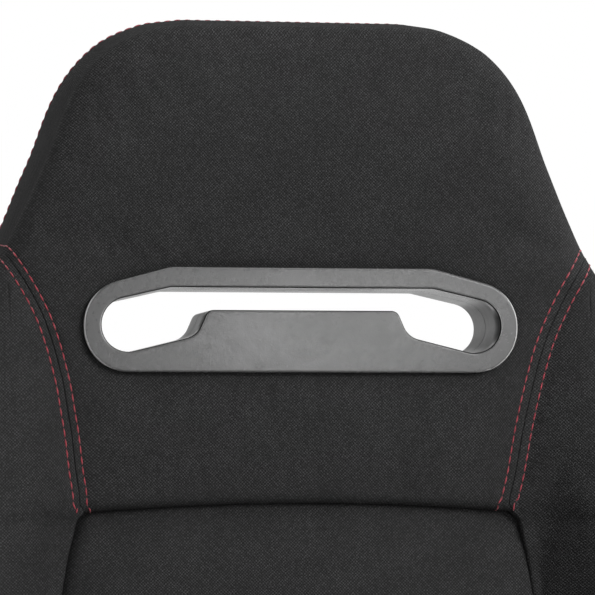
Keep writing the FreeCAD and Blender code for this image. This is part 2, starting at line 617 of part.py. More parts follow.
def arm_fasteners():
    spacers, bolts, nuts = [], [], []
    for z in ARM_BOLTS:
        outer = LEG_X + TUBE_R + 0.1
        spacers.append(rod_x(outer, ARM_X, FRAME_Y, z, 9).cut(rod_x(outer - 1, ARM_X + 1, FRAME_Y, z, ARM_BOLT_R + 0.2)))
        head = hexagon(V(ARM_X + PLATE, FRAME_Y, z), V(1, 0, 0), 17, 5.5)
        inner = LEG_X - TUBE_R
        bolts.append(head.fuse(rod_x(inner - 10, ARM_X + PLATE + 1, FRAME_Y, z, ARM_BOLT_R)).removeSplitter())
        nuts.append(hexagon(V(inner - 8.1, FRAME_Y, z), V(1, 0, 0), 17, 8).cut(
            rod_x(inner - 12, inner + 2, FRAME_Y, z, ARM_BOLT_R)))
    return [[in_back(s) for s in both(group)] for group in (spacers, bolts, nuts)]


def arm_cover():
    """Moulded cap over the arm and its bolts; it turns with the backrest."""
    outer = side_plate([(-30, 54, 8), (40, 54, 8), (40, 170, 16), (-16, 170, 14)], ARM_X + PLATE + 0.1, 229.3)
    rim = [e for e in outer.Edges if e.BoundBox.XMin > 229.2]
    outer = outer.makeFillet(3, rim)
    inner = side_plate([(-28, 56, 6), (38, 56, 6), (38, 168, 14), (-14, 168, 12)], ARM_X, 227.3)
    return in_back(outer.cut(inner))


# ---- backrest pads -----------------------------------------------------------------------------------------------
def outline_wire(inset, y=PAD_BACK):
    """The backrest's outline at a depth y, moved inwards, as a closed wire in the backrest's XZ plane."""
    heights = [BACK_LOW + (BACK_TOP - BACK_LOW) * k / 28 for k in range(26)] + [776, 788, 795, BACK_TOP]
    share = (y - PAD_BACK) / (REAR_FACE - PAD_BACK)
    pairs = [(curve(OUTLINE, z), z) for z in heights]
    moved = []
    for i, (x, z) in enumerate(pairs):
        a, b = pairs[max(i - 1, 0)], pairs[min(i + 1, len(pairs) - 1)]
        dx, dz = b[0] - a[0], b[1] - a[1]
        n = math.hypot(dx, dz)
        out = share * curve(FLARE, z) - inset
        moved.append(V(x + out * dz / n, y, z - out * dx / n))
    moved[0].z = BACK_LOW + inset
    moved[-1].z = BACK_TOP + out
    side = Part.BSplineCurve()
    side.interpolate(moved)
    right = side.toShape()
    left = right.mirror(V(0, 0, 0), V(1, 0, 0))
    base = Part.makeLine(V(-moved[0].x, y, moved[0].z), moved[0])
    top = Part.makeLine(moved[-1], V(-moved[-1].x, y, moved[-1].z))
    return Part.Wire(Part.__sortEdges__([right, top, left, base]))


def slab(inset, y0, y1):
    """The backrest's flared outline, moved inwards, between two depths."""
    return Part.makeLoft([outline_wire(inset, y0), outline_wire(inset, y1)], True, True)


def slot_shape(corners, y0, y1):
    """A prism through the backrest from half-outline corners (x, z from the slot's middle, radius)."""
    whole = corners + [(-x, z, r) for x, z, r in reversed(corners)]
    face = Part.Face(rounded(whole))
    prism = face.extrude(V(0, 0, y1 - y0))
    prism.rotate(V(0, 0, 0), V(1, 0, 0), 90)
    prism.translate(V(0, y1, SLOT_Z))
    return prism


def grown(corners, d):
    """Corners of the same outline moved outwards by d."""
    wire = rounded(corners + [(-x, z, r) for x, z, r in reversed(corners)])
    return wire.makeOffset2D(d)


def offset_prism(corners, d, y0, y1):
    prism = Part.Face(grown(corners, d)).extrude(V(0, 0, y1 - y0))
    prism.rotate(V(0, 0, 0), V(1, 0, 0), 90)
    prism.translate(V(0, y1, SLOT_Z))
    return prism


def rounded_edges(solid, y, radius):
    edges = [e for e in solid.Edges if abs(e.BoundBox.YMin - y) < 0.05 and abs(e.BoundBox.YMax - y) < 0.05]
    return solid.makeFillet(radius, edges)


def bezel_front():
    face = SLOT_FACE - BEZEL_T - 0.1
    flange = slot_shape(BEZEL_OUTER, face, SLOT_FACE - 0.1)
    sleeve = offset_prism(BEZEL_HOLE, SLEEVE_T, face + 1, SLEEVE_JOINT - 0.45)
    body = flange.fuse(sleeve).removeSplitter().cut(slot_shape(BEZEL_HOLE, face - 1, SLEEVE_JOINT + 1))
    return in_back(rounded_edges(body, face, 1.6))


def bezel_rear():
    face = REAR_FACE + 0.1
    flange = slot_shape(BEZEL_OUTER, face, face + 4)
    sleeve = offset_prism(BEZEL_HOLE, SLEEVE_T, SLEEVE_JOINT + 0.45, face + 2)
    body = flange.fuse(sleeve).removeSplitter().cut(slot_shape(BEZEL_HOLE, SLEEVE_JOINT - 1, face + 5))
    return in_back(screw_drilled(rounded_edges(body, face + 4, 1.6)))


def screw_drilled(solid):
    for x, z in BEZEL_SCREWS:
        for side in (-1, 1):
            solid = solid.cut(rod(V(side * x, 20, SLOT_Z + z), V(side * x, 60, SLOT_Z + z), 2.1))
    return solid


def slot_clearance(y0, y1):
    """The way through the foam and pads, round the bezel's sleeves."""
    return offset_prism(BEZEL_HOLE, SLEEVE_T + 0.8, y0, y1)


def head_half(z):
    return min(curve(SEAM, z) - 0.6, curve(OUTLINE, z) - 1.0)


def head_pad():
    """The one-piece pad round the slot; its face is flat under the bezel."""
    heights = [(HEAD_LOW, 0.62), (462, 0.92)] + [(z, 1) for z in SEAM_HEIGHTS] + [
        (650, 1), (680, 1), (710, 1), (740, 0.98), (765, 0.92), (782, 0.8), (792, 0.62), (796.5, 0.42)]
    sections = []
    for z, share in heights:
        half = head_half(z)
        top = mixed(PAD_BACK, -curve(HEAD_DEPTH, z), share)
        sections.append((z, crowned(-half, half, PAD_BACK, top + 4, top, min(16, half / 4, (PAD_BACK - top) / 3))))
    pad = lofted(sections, across_back)
    flat = box(-158, 158, -80, SLOT_FACE, SLOT_Z - 42, SLOT_Z + 43)
    return in_back(pad.cut(flat).cut(slot_clearance(-90, 0)))


def wing():
    heights = [(BACK_LOW + 1, 0.7), (BACK_LOW + 8, 0.95)] + [(z, 1) for z in INSERT_HEIGHTS + (456.4, 462)]
    heights += [(z, min(1, 1.03 - ((z - 555) / 140) ** 2)) if z > 555 else (z, 1) for z in SEAM_HEIGHTS]
    sections = []
    for z, share in heights:
        a, b = curve(SEAM, z) + 0.6, curve(OUTLINE, z) - 0.4
        top = mixed(PAD_BACK, -curve(WING_DEPTH, z), share)
        inner = mixed(PAD_BACK, min(-curve(INSERT_DEPTH if z < HEAD_LOW else HEAD_DEPTH, z) + 8, top + 5), share)
        edge = mixed(PAD_BACK, top, 0.42)
        crest = mixed(a, b, 0.58)
        r = min(15, (b - a) * 0.2)
        sections.append((z, [(a, PAD_BACK, 0), (b, PAD_BACK, 0), (b, edge, r), (crest, top, r * 1.4), (a, inner, r * 0.6)]))
    return in_back(lofted(sections, across_back))


def back_insert():
    heights = [(BACK_LOW + 1, 0.7), (BACK_LOW + 8, 0.95)] + [(z, 1) for z in INSERT_HEIGHTS[:-1]]
    heights += [(INSERT_HEIGHTS[-1], 0.85), (INSERT_TOP, 0.6)]
    sections = []
    for z, share in heights:
        half = curve(SEAM, z) - 0.6
        top = mixed(PAD_BACK, -curve(INSERT_DEPTH, z), share)
        sections.append((z, crowned(-half, half, PAD_BACK, top + 5 * share, top, 14 * share)))
    return in_back(lofted(sections, across_back))


def back_foam():
    foam = slab(8, PAD_BACK + 0.2, FRAME_Y - TUBE_R - 1.5).cut(slot_clearance(-90, 90))
    return in_back(foam)


def back_boxing():
    """The fabric side band, from the pads' rear to the rear panel, slit for the arm spacers."""
    band = slab(0, PAD_BACK + 0.2, REAR_FACE - 3.2).cut(slab(3, PAD_BACK - 5, REAR_FACE + 5))
    for z in ARM_BOLTS:
        band = band.cut(rod_x(-230, 230, FRAME_Y, z, 9.6))
    return in_back(band)


def back_rear_panel():
    return in_back(screw_drilled(slab(0.5, REAR_FACE - 3, REAR_FACE).cut(slot_clearance(0, 90))))


def bezel_screws():
    screws = []
    for x, z in BEZEL_SCREWS:
        y = REAR_FACE + 4.1
        head = rod(V(x, y, SLOT_Z + z), V(x, y + 1.6, SLOT_Z + z), 3.6)
        shank = rod(V(x, y - 12, SLOT_Z + z), V(x, y + 0.5, SLOT_Z + z), 2)
        screws.append(in_back(head.fuse(shank).removeSplitter()))
    return both(screws)


# ---- cushion -----------------------------------------------------------------------------------------------------
def cushion_pad(stations):
    """A middle pad through (y, share of full height) stations."""
    base = FOAM_Z[1] + 0.5
    sections = []
    for y, share in stations:
        top = mixed(base, curve(CUSHION_TOP, y), share)
        sections.append((y, crowned(-MIDDLE_HALF, MIDDLE_HALF, base, top - 5, top, 16)))
    return lofted(sections, across_cushion)


def cushion_center():
    seam = NOSE_Y + 0.6
    return cushion_pad([(seam, 0.9), (seam + 4, 0.97), (seam + 14, 1), (-120, 1), (-60, 1), (0, 1), (60, 1), (100, 1),
                        (118, 0.96), (130, 0.85), (CUSHION_REAR, 0.6)])


def cushion_nose():
    seam = NOSE_Y - 0.6
    return cushion_pad([(CUSHION_FRONT, 0.45), (-281, 0.66), (-272, 0.83), (-258, 0.94), (-240, 0.99), (-222, 1),
                        (seam - 10, 1), (seam - 3, 0.97), (seam, 0.9)])


def cushion_bolster():
    base = FOAM_Z[1] + 1.5
    stations = [(-262, 0.4), (-256, 0.62), (-244, 0.83), (-226, 0.95), (-200, 1), (-160, 1), (-120, 1), (-80, 1),
                (-40, 1), (0, 1), (40, 1), (66, 0.97), (84, 0.86), (93, 0.66), (97, 0.45)]
    sections = []
    for y, share in stations:
        a = MIDDLE_HALF + 1.2
        b = BOLSTER_OUT - 22 * max(0.0, (y - 20) / 77.0) ** 2 - 12 * max(0.0, (-150 - y) / 112.0) ** 2
        top = mixed(base, curve(BOLSTER_TOP, y), share)
        edge, inner = mixed(base, top, 0.6), mixed(base, top, 0.78)
        sections.append((y, [(a, base, 0), (b, base, 0), (b, edge, 16), (mixed(a, b, 0.55), top, 22), (a, inner, 8)]))
    return lofted(sections, across_cushion)


def cushion_foam():
    return box(-203, 203, -248, CUSHION_REAR - 3, *FOAM_Z)


def front_apron():
    """Fabric-covered board that closes the front, from the nose down past the front tube."""
    return box(-202, 202, -256, -252, 58, FOAM_Z[1]).fuse(box(-202, 202, -256, -249, FOAM_Z[1] - 8, FOAM_Z[1])
                                                          ).removeSplitter()


# ---- build -------------------------------------------------------------------------------------------------------
def build_rails():
    save_pair("lower_rail", lower_rail())
    save_pair("upper_rail", upper_rail())
    balls, rollers = bearings()
    save("slide_balls", *balls)
    save("slide_rollers", *rollers)
    save_pair("slide_latch", latch())
    save("slide_lock_pins", *lock_pins())
    bar, sleeve = slide_handle()
    save("slide_handle", bar)
    save("slide_handle_sleeve", sleeve)


def build_base():
    save_pair("side_frame", side_frame())
    bolts, nuts = frame_fasteners()
    save("frame_bolts", *bolts)
    save("frame_nuts", *nuts)
    save("front_cross_tube", rod_x(-WEB_X, WEB_X, *FRONT_TUBE, TUBE_R))
    save("rear_cross_tube", rod_x(-WEB_X, WEB_X, *REAR_TUBE, TUBE_R))
    save("cushion_springs", *cushion_springs())
    save("cushion_foam", cushion_foam())
    save("cushion_center", cushion_center())
    save("cushion_nose", cushion_nose())
    save_pair("cushion_bolster", cushion_bolster())
    save("front_apron", front_apron())


def build_recliner():
    save_pair("recliner_bracket", bracket())
    save("recliner_bracket_bolts", *bracket_fasteners())
    save("recliner_pivot_pins", *both([pivot_pin()]))
    save("pivot_washers", *both([pivot_washer()]))
    save_pair("recliner_spring", spiral_spring())
    save_pair("recliner_arm", sector_arm())
    save_pair("recliner_pawl", pawl())
    save("release_rod", release_rod())
    save("release_lever", release_lever())
    save("release_lever_cap", lever_cap())
    cover = side_cover()
    save("side_cover_right", cover)
    save("side_cover_left", mirrored(cover).cut(rod_x(-COVER_X - 8, -COVER_X + 8, *ROD, 8)))
    save("side_cover_screws", *cover_screws())


def build_backrest():
    save("back_hoop", back_hoop())
    save("back_cross_tubes", *back_cross_tubes())
    wires, clips = back_springs()
    save("back_springs", *wires)
    save("back_spring_clips", *clips)
    spacers, bolts, nuts = arm_fasteners()
    save("arm_spacers", *spacers)
    save("arm_bolts", *bolts)
    save("arm_nuts", *nuts)
    save_pair("arm_cover", arm_cover())
    save("back_foam", back_foam())
    save("back_boxing", back_boxing())
    save("back_rear_panel", back_rear_panel())
    save("head_pad", head_pad())
    save("back_insert", back_insert())
    save_pair("back_wing", wing())
    save("harness_bezel_front", bezel_front())
    save("harness_bezel_rear", bezel_rear())
    save("bezel_screws", *bezel_screws())


if __name__ == "__main__":
    os.makedirs("parts", exist_ok=True)
    build_rails()
    build_base()
    build_recliner()
    build_backrest()
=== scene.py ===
"""Looks for the reclining sport seat: stitched cloth covers, moulded plastics and metals round the CAD frame.

Lengths are in millimetres until an on_...() function turns them into metres. The backrest is drawn in its own
frame: x across, y out of its rear face, z up along it, with the origin on the recliner's axis. "Depth" is how
far a surface stands in front of that axis (for the backrest) or its height above the floor (for the cushion).
"""

import json
import math

import bpy
import numpy as np
from mathutils import Matrix, Vector
from mathutils.bvhtree import BVHTree


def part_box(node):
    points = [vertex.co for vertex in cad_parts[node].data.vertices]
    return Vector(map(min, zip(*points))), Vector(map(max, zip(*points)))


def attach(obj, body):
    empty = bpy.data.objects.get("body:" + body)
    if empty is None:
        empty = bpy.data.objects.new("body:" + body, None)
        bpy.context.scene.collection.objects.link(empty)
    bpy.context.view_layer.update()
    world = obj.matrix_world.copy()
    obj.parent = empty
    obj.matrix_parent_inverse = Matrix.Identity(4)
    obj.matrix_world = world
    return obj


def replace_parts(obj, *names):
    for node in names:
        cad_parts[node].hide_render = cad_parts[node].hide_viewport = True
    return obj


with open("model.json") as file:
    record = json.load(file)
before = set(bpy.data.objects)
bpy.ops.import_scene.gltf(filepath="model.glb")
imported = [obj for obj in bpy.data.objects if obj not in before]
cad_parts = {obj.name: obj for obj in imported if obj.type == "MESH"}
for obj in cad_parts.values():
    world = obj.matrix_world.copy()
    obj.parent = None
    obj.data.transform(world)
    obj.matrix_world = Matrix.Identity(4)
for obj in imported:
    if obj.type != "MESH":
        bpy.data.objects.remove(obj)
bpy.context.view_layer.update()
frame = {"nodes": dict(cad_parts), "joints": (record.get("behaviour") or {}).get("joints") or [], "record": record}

MM = 0.001
LEAN = math.radians(14.0)
PIVOT = np.array(next(j["pos_m"] for j in frame["joints"] if j["name"] == "recline")) / MM

# ---- driving shapes, as in the CAD -----------------------
LOW, TOP = -28.0, 798.6
REAR = 33.0                     # the covers' rear edge, in y
# (height, width) from the middle: the backrest's edge, its widening at the rear, and the wing's inner seam
OUTLINE = [(-28, 193), (10, 196), (165, 196), (200, 221), (260, 260), (340, 277), (450, 281), (535, 270),
           (590, 241), (638, 207.3), (700, 178), (750, 158.3), (779, 135.7), (795, 104), (798.6, 78.4)]
FLARE = [(-28, 3), (560, 3), (640, 7.5), (690, 10.5), (800, 10.5)]
SEAM = [(-28, 146), (80, 150), (200, 165), (320, 172), (399, 165.5), (425, 161.5), (446, 156.7),
        (450.3, 155.9), (453.4, 154.2), (455.4, 152.1), (456.4, 150.7), (462, 150.3), (487, 154.3),
        (521, 160.2), (585, 177.4), (634, 204.5), (640, 210), (655, 228), (672, 250)]
FOLD = 463.3                    # the head panel's lower edge, at the middle
CORNER = (146.0, 446.0, 10.7, 11.5)     # the insert's rounded top corner: centre and radii
JOIN = 638.0                    # height at which the wing seams run out over the backrest's edge
SLOT_Z = 590.0                  # height of the belt slot's middle

# the bezel's outline from the slot's middle: its half width, round ends, foot, head and sloping shoulders
BEZEL_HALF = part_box("harness_bezel_front")[1].x / MM
END_RADIUS, END_DROP = 31.0, 3.9
BEZEL_FOOT, BEZEL_HEAD = 35.7, 37.0
SHOULDER, SLANT, SLANT_COSINE = 92.0, 0.27, 0.965
HOLE_RIM = 6.5                  # how far in from the bezel's edge the cloth is cut away

STITCH_PITCH = 7.3
STITCH_INSET = 5.2              # from a seam to each row of stitches beside it

INSERT_DEPTH = [(-28, 50), (60, 52), (200, 60), (320, 54), (420, 46.5), (465, 39)]
HEAD_DEPTH = [(458, 50), (500, 51.5), (540, 52), (640, 52), (720, 57), (800, 54)]
VALLEY = [(-28, 47), (60, 49), (200, 57), (320, 51), (425, 44.5), (446, 45.5), (470, 50.4), (521, 51.8),
          (585, 51.4), (610, 50.3), (634, 48.8), (640, 48.3)]
CREST = [(-28, 48), (60, 56), (130, 74), (220, 102), (310, 112), (400, 101), (500, 80), (580, 61),
         (638, 48.3)]

CUSHION_REAR, CUSHION_FRONT, NOSE_Y = 137.0, -285.0, -196.0
CUSHION_HALF = 158.0
CUSHION_BASE = 122.0
CUSHION_TOP = [(-285, 236), (-240, 246), (-180, 246), (-60, 225), (60, 207), (137, 203)]
BOLSTER_TOP = [(-262, 258), (-200, 284), (-110, 298), (-20, 285), (50, 252), (97, 222)]

# the covers' swelling in the cloth simulation
PRESSURE = 4.0
SPARE_CLOTH = 0.004
SIM_FRAMES = 20
HELD_EDGE = 7.0                 # how wide a strip along each edge is sewn down


def curve(points, x):
    """Smooth values at x through (x, value) points, held at the ends."""
    px, py = np.array(points, float).T
    x = np.clip(np.asarray(x, float), px[0], px[-1])
    slope = np.diff(py) / np.diff(px)
    a, b = slope[:-1], slope[1:]
    inner = np.where(a * b > 0, 2 * a * b / np.where(a + b == 0, 1, a + b), 0)
    tangent = np.concatenate([slope[:1], inner, slope[-1:]])
    i = np.clip(np.searchsorted(px, x, side="right") - 1, 0, len(px) - 2)
    h = px[i + 1] - px[i]
    t = (x - px[i]) / h
    return (py[i] * (1 + 2 * t) * (1 - t) ** 2 + tangent[i] * h * t * (1 - t) ** 2
            + py[i + 1] * t * t * (3 - 2 * t) + tangent[i + 1] * h * t * t * (t - 1))


def smooth(t):
    t = np.clip(t, 0, 1)
    return t * t * (3 - 2 * t)


def on_back(a, b, depth):
    """(across, up, depth) in the backrest's frame, to metres in the row frame."""
    c, s = math.cos(LEAN), math.sin(LEAN)
    return np.stack([a, PIVOT[1] - c * depth + s * b, PIVOT[2] + s * depth + c * b], -1) * MM


def on_rear(a, b, depth):
    """The same for the rear panel, whose depth is measured out of the rear face."""
    return on_back(a, b, -depth)


def on_cushion(a, b, depth):
    """(across, y, height) to metres."""
    return np.stack([a, b, depth], -1) * MM


def placed(name, data):
    """A new object in the scene."""
    obj = bpy.data.objects.new(name, data)
    bpy.context.scene.collection.objects.link(obj)
    return obj


def mark_cloth(data, places):
    """Stores each vertex's place in the flat cloth, in millimetres, for the weave."""
    attribute = data.attributes.new("cloth_mm", "FLOAT_VECTOR", "POINT")
    attribute.data.foreach_set("vector", np.array(places, np.float32).ravel())


# ---- panels ----------------------------------------------
def line(p, q):
    """A straight boundary from p to q."""
    p, q = np.array(p, float), np.array(q, float)
    return np.array([p + (q - p) * k / 60 for k in range(61)])


def along(points):
    """Cumulative length along a polyline."""
    return np.concatenate([[0], np.cumsum(np.linalg.norm(np.diff(points, axis=0), axis=1))])


def sampled(points, share):
    """Points at shares of a polyline's length."""
    s = along(points)
    return np.stack([np.interp(share * s[-1], s, points[:, k]) for k in range(points.shape[1])], -1)


def outward_of(path):
    """Unit steps across a path, to its right."""
    step = np.gradient(path, axis=0)
    step /= np.maximum(np.linalg.norm(step, axis=1, keepdims=True), 1e-9)
    return np.stack([step[:, 1], -step[:, 0]], -1)


def nearest(points, path):
    """Distance from each point to the path, and how far along the path the nearest point is."""
    s = along(path)
    best = np.empty(len(points))
    where = np.empty(len(points))
    for start in range(0, len(points), 2000):
        p = points[start:start + 2000]
        a, b = path[:-1], path[1:]
        ab = b - a
        length = np.maximum((ab ** 2).sum(1), 1e-12)
        t = np.clip(((p[:, None] - a) * ab).sum(-1) / length, 0, 1)
        gap = np.linalg.norm(p[:, None] - (a + t[..., None] * ab), axis=-1)
        k = gap.argmin(1)
        rows = np.arange(len(p))
        best[start:start + 2000] = gap[rows, k]
        where[start:start + 2000] = s[k] + t[rows, k] * (s[k + 1] - s[k])
    return best, where


TOPSTITCH_LINES = [0, 0.3, 0.8, 1.5, 2.4, 3.4, 4.4, 5.2, 6.0, 7.0, 9.0, 12.0, 16.0, 21.0]
TOPSTITCH_DROP = ([0, 0.3, 0.8, 1.5, 3.3, 4.4, 5.2, 6.0, 7.4, 9.5, 13, 20],
                  [1.7, 0.9, 0.7, 0.66, 0.68, 0.85, 1.2, 0.8, 0.35, 0.12, 0.02, 0])
PLAIN_LINES = [0, 0.4, 1.0, 2.0, 3.4, 5.2, 7.5, 10.5, 14.0, 18.0]


def topstitch(e, s):
    """A seam stitched down on both sides: a crease, a flat, and a dimpled groove at the thread."""
    groove = np.exp(-((e - STITCH_INSET) / 1.3) ** 2) * 0.22 * np.cos(2 * math.pi * s / STITCH_PITCH)
    pucker = np.exp(-((e - 8.5) / 3.0) ** 2) * 0.10 * np.cos(2 * math.pi * s / (STITCH_PITCH * 2.7) + 0.8)
    return np.interp(e, *TOPSTITCH_DROP) + groove + pucker


def rolled(radius, tuck=0.0):
    """An edge that rolls over with a radius; tuck deepens the last of it."""
    def drop(e, s):
        t = 1 - np.minimum(e, radius) / radius
        return radius * (1 - np.sqrt(1 - t * t)) + tuck * np.exp(-e / 0.8)
    return drop


def sloped(width, depth):
    """An edge that falls away at a slope, softly at first."""
    return lambda e, s: depth * np.clip(1 - e / width, 0, 1) ** 1.35


def gaps(length, near, far, count):
    """Distances of grid lines across a strip of this length."""
    reach = near[-1] + far[-1]
    scale = min(1.0, 0.9 * length / max(reach, 1e-6))
    near, far = np.array(near) * scale, np.array(far) * scale
    inner = np.linspace(near[-1], length - far[-1], count + 2)[1:-1]
    return np.concatenate([near, inner, length - far[::-1]])


class Panel:
    """A cloth panel over a four-sided region. sides holds the boundaries bottom, right, top and left, each
    drawn left to right or low to high. front(a, b) is its depth before the edges drop away, and place puts
    it in space."""

    def __init__(self, name, sides, front, place, lines, drops, counts, thickness=1.4, corner=1.0):
        self.name, self.sides, self.place = name, sides, place
        self.thickness = thickness
        bottom, right, top, left = sides
        lb, lr, lt, ll = lines
        share = np.linspace(0, 1, 200)
        tall = np.linalg.norm(sampled(top, share) - sampled(bottom, share), axis=1)
        wide = np.linalg.norm(sampled(right, share) - sampled(left, share), axis=1)
        rows = gaps(tall.mean(), lb, lt, counts[1]) / tall.mean()
        s = np.array([gaps(w, ll, lr, counts[0]) / w for w in np.interp(rows, share, wide)])
        t = np.array([gaps(h, lb, lt, counts[1]) / h for h in np.interp(s.mean(0), share, tall)]).T
        flat = self.coons(s, t)
        self.flat = flat.reshape(-1, 2)
        depth = front(self.flat[:, 0], self.flat[:, 1])
        drop = np.zeros(len(depth))
        edge_gap = np.full(len(depth), 1e9)
        for side, rule in zip(sides, drops):
            gap, where = nearest(self.flat, side)
            edge_gap = np.minimum(edge_gap, gap)
            if rule is not None:
                drop += np.maximum(rule(gap, where), 0) ** corner
        self.depth = depth - drop ** (1 / corner)
        self.cloth = np.concatenate([self.flat, np.zeros((len(depth), 1))], 1)
        index = np.arange(len(depth)).reshape(s.shape)
        quads = np.stack([index[:-1, :-1], index[:-1, 1:], index[1:, 1:], index[1:, :-1]], -1).reshape(-1, 4)
        self.faces = [tuple(q) for q in quads]
        self.index = index
        self.points = place(self.flat[:, 0], self.flat[:, 1], self.depth)
        self.fixed = edge_gap < HELD_EDGE

    def coons(self, s, t):
        """Places at shares s across and t up, blended from the four sides."""
        bottom, right, top, left = self.sides
        shape = s.shape
        s, t = s.ravel(), t.ravel()
        b, r, u, l = (sampled(side, share) for side, share in ((bottom, s), (right, t), (top, s), (left, t)))
        s, t = s[:, None], t[:, None]
        corners = ((1 - s) * (1 - t) * bottom[0] + s * (1 - t) * bottom[-1]
                   + (1 - s) * t * top[0] + s * t * top[-1])
        return ((1 - t) * b + t * u + (1 - s) * l + s * r - corners).reshape(*shape, 2)

    def rim(self, *names):
        """Grid vertices along sides, in one path: any of bottom, right, top, left, anticlockwise."""
        run = {"bottom": self.index[0], "right": self.index[:, -1], "top": self.index[-1, ::-1],
               "left": self.index[::-1, 0]}
        path = list(run[names[0]])
        for name in names[1:]:
            path += list(run[name][1:])
        return np.array(path)

    def extend(self, path, stops, flare=None):
        """Carries the cloth on from a rim. stops holds each further ring's (outward, depth, flare share)."""
        base = self.flat[path]
        flare = 0.0 if flare is None else curve(flare, base[:, 1])
        outward = outward_of(base)
        previous = path
        ring_depth = self.depth[path]
        walked = np.zeros(len(path))
        last = np.stack([np.zeros(len(path)), ring_depth], -1)
        for out, depth, share in stops:
            out = np.broadcast_to(out + share * flare, len(path)).astype(float)
            depth = depth(ring_depth) if callable(depth) else np.full(len(path), float(depth))
            here = np.stack([out, depth], -1)
            walked = walked + np.linalg.norm(here - last, axis=1)
            last = here
            flat = base + outward * out[:, None]
            start = len(self.points)
            self.points = np.concatenate([self.points, self.place(flat[:, 0], flat[:, 1], depth)])
            cloth = base + outward * walked[:, None]
            self.cloth = np.concatenate([self.cloth, np.concatenate([cloth, np.zeros((len(path), 1))], 1)])
            self.fixed = np.concatenate([self.fixed, np.ones(len(path), bool)])
            ring = np.arange(start, start + len(path))
            for i in range(len(path) - 1):
                self.faces.append((previous[i], ring[i], ring[i + 1], previous[i + 1]))
            previous = ring

    def cut(self, level, rim):
        """Opens a hole where level(flat) passes rim, and draws the vertices beside it onto its edge."""
        n = len(self.flat)
        inside = level(self.flat) > rim
        self.faces = [f for f in self.faces if max(f) >= n or not all(inside[i] for i in f)]
        beside = np.zeros(n, bool)
        beside[np.unique([i for f in self.faces for i in f if i < n])] = True
        beside &= inside
        flat = self.flat[beside]
        for _ in range(6):
            over = level(flat) - rim
            slope = np.stack([level(flat + d) - level(flat - d) for d in ([0.05, 0], [0, 0.05])], -1) / 0.1
            flat = flat - slope * (over / np.maximum((slope ** 2).sum(1), 1e-6))[:, None]
        self.flat[beside] = flat
        self.cloth[:n][beside, :2] = flat
        self.points[:n][beside] = self.place(flat[:, 0], flat[:, 1], self.depth[beside])

    def mesh(self, mirror=False):
        points = self.points * np.array([-1, 1, 1]) if mirror else self.points
        faces = np.array(self.faces)
        used = np.zeros(len(points), bool)
        used[faces.ravel()] = True
        new = np.cumsum(used) - 1
        a, b, c = (points[faces[:, k]] for k in (0, 1, 2))
        normal = np.cross(b - a, c - a).sum(0)
        none = np.zeros(1)
        up = self.place(none, none, np.ones(1)) - self.place(none, none, none)
        if normal @ up[0] < 0:
            faces = faces[:, ::-1]
        data = bpy.data.meshes.new(self.name)
        data.from_pydata(points[used].tolist(), [], new[faces].tolist())
        cloth = self.cloth[used]
        if mirror:
            cloth = cloth * np.array([-1, 1, 1])
        mark_cloth(data, cloth)
        self.used = used
        return data

    def puff(self, cap):
        """Lets the free middle of the panel swell under pressure, as cloth sewn down along its edges does."""
        data = self.mesh()
        obj = placed(self.name + "_sim", data)
        pins = obj.vertex_groups.new(name="pin")
        held = np.flatnonzero(self.fixed[self.used])
        pins.add(held.tolist(), 1.0, "REPLACE")
        cloth = obj.modifiers.new("Cloth", "CLOTH")
        settings = cloth.settings
        settings.vertex_group_mass = "pin"
        settings.use_pressure = True
        settings.uniform_pressure_force = PRESSURE
        settings.effector_weights.gravity = 0
        settings.quality = 4
        settings.shrink_min = -SPARE_CLOTH
        settings.bending_stiffness = 2.0
        cloth.collision_settings.use_self_collision = False
        cloth.point_cache.frame_start, cloth.point_cache.frame_end = 1, SIM_FRAMES
        scene = bpy.context.scene
        scene.frame_start, scene.frame_end = 1, SIM_FRAMES
        for f in range(1, SIM_FRAMES + 1):
            scene.frame_set(f)
        shaped = obj.evaluated_get(bpy.context.evaluated_depsgraph_get())
        co = np.empty(len(data.vertices) * 3, np.float32)
        shaped.data.vertices.foreach_get("co", co)
        moved = co.reshape(-1, 3).astype(float) - self.points[self.used]
        length = np.linalg.norm(moved, axis=1, keepdims=True)
        limit = cap * MM
        moved *= limit * np.tanh(length / limit) / np.maximum(length, 1e-9)
        self.points[self.used] += moved
        bpy.data.objects.remove(obj)
        scene.frame_set(1)

    def piece(self, body, material, *stands_for, mirror=False, name=None):
        data = self.mesh(mirror)
        data.materials.append(material)
        obj = placed(name or self.name, data)
        data.shade_smooth()
        thick = obj.modifiers.new("Cloth thickness", "SOLIDIFY")
        thick.thickness = self.thickness * MM
        thick.offset = -1
        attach(obj, body)
        if stands_for:
            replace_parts(obj, *stands_for)
        return obj


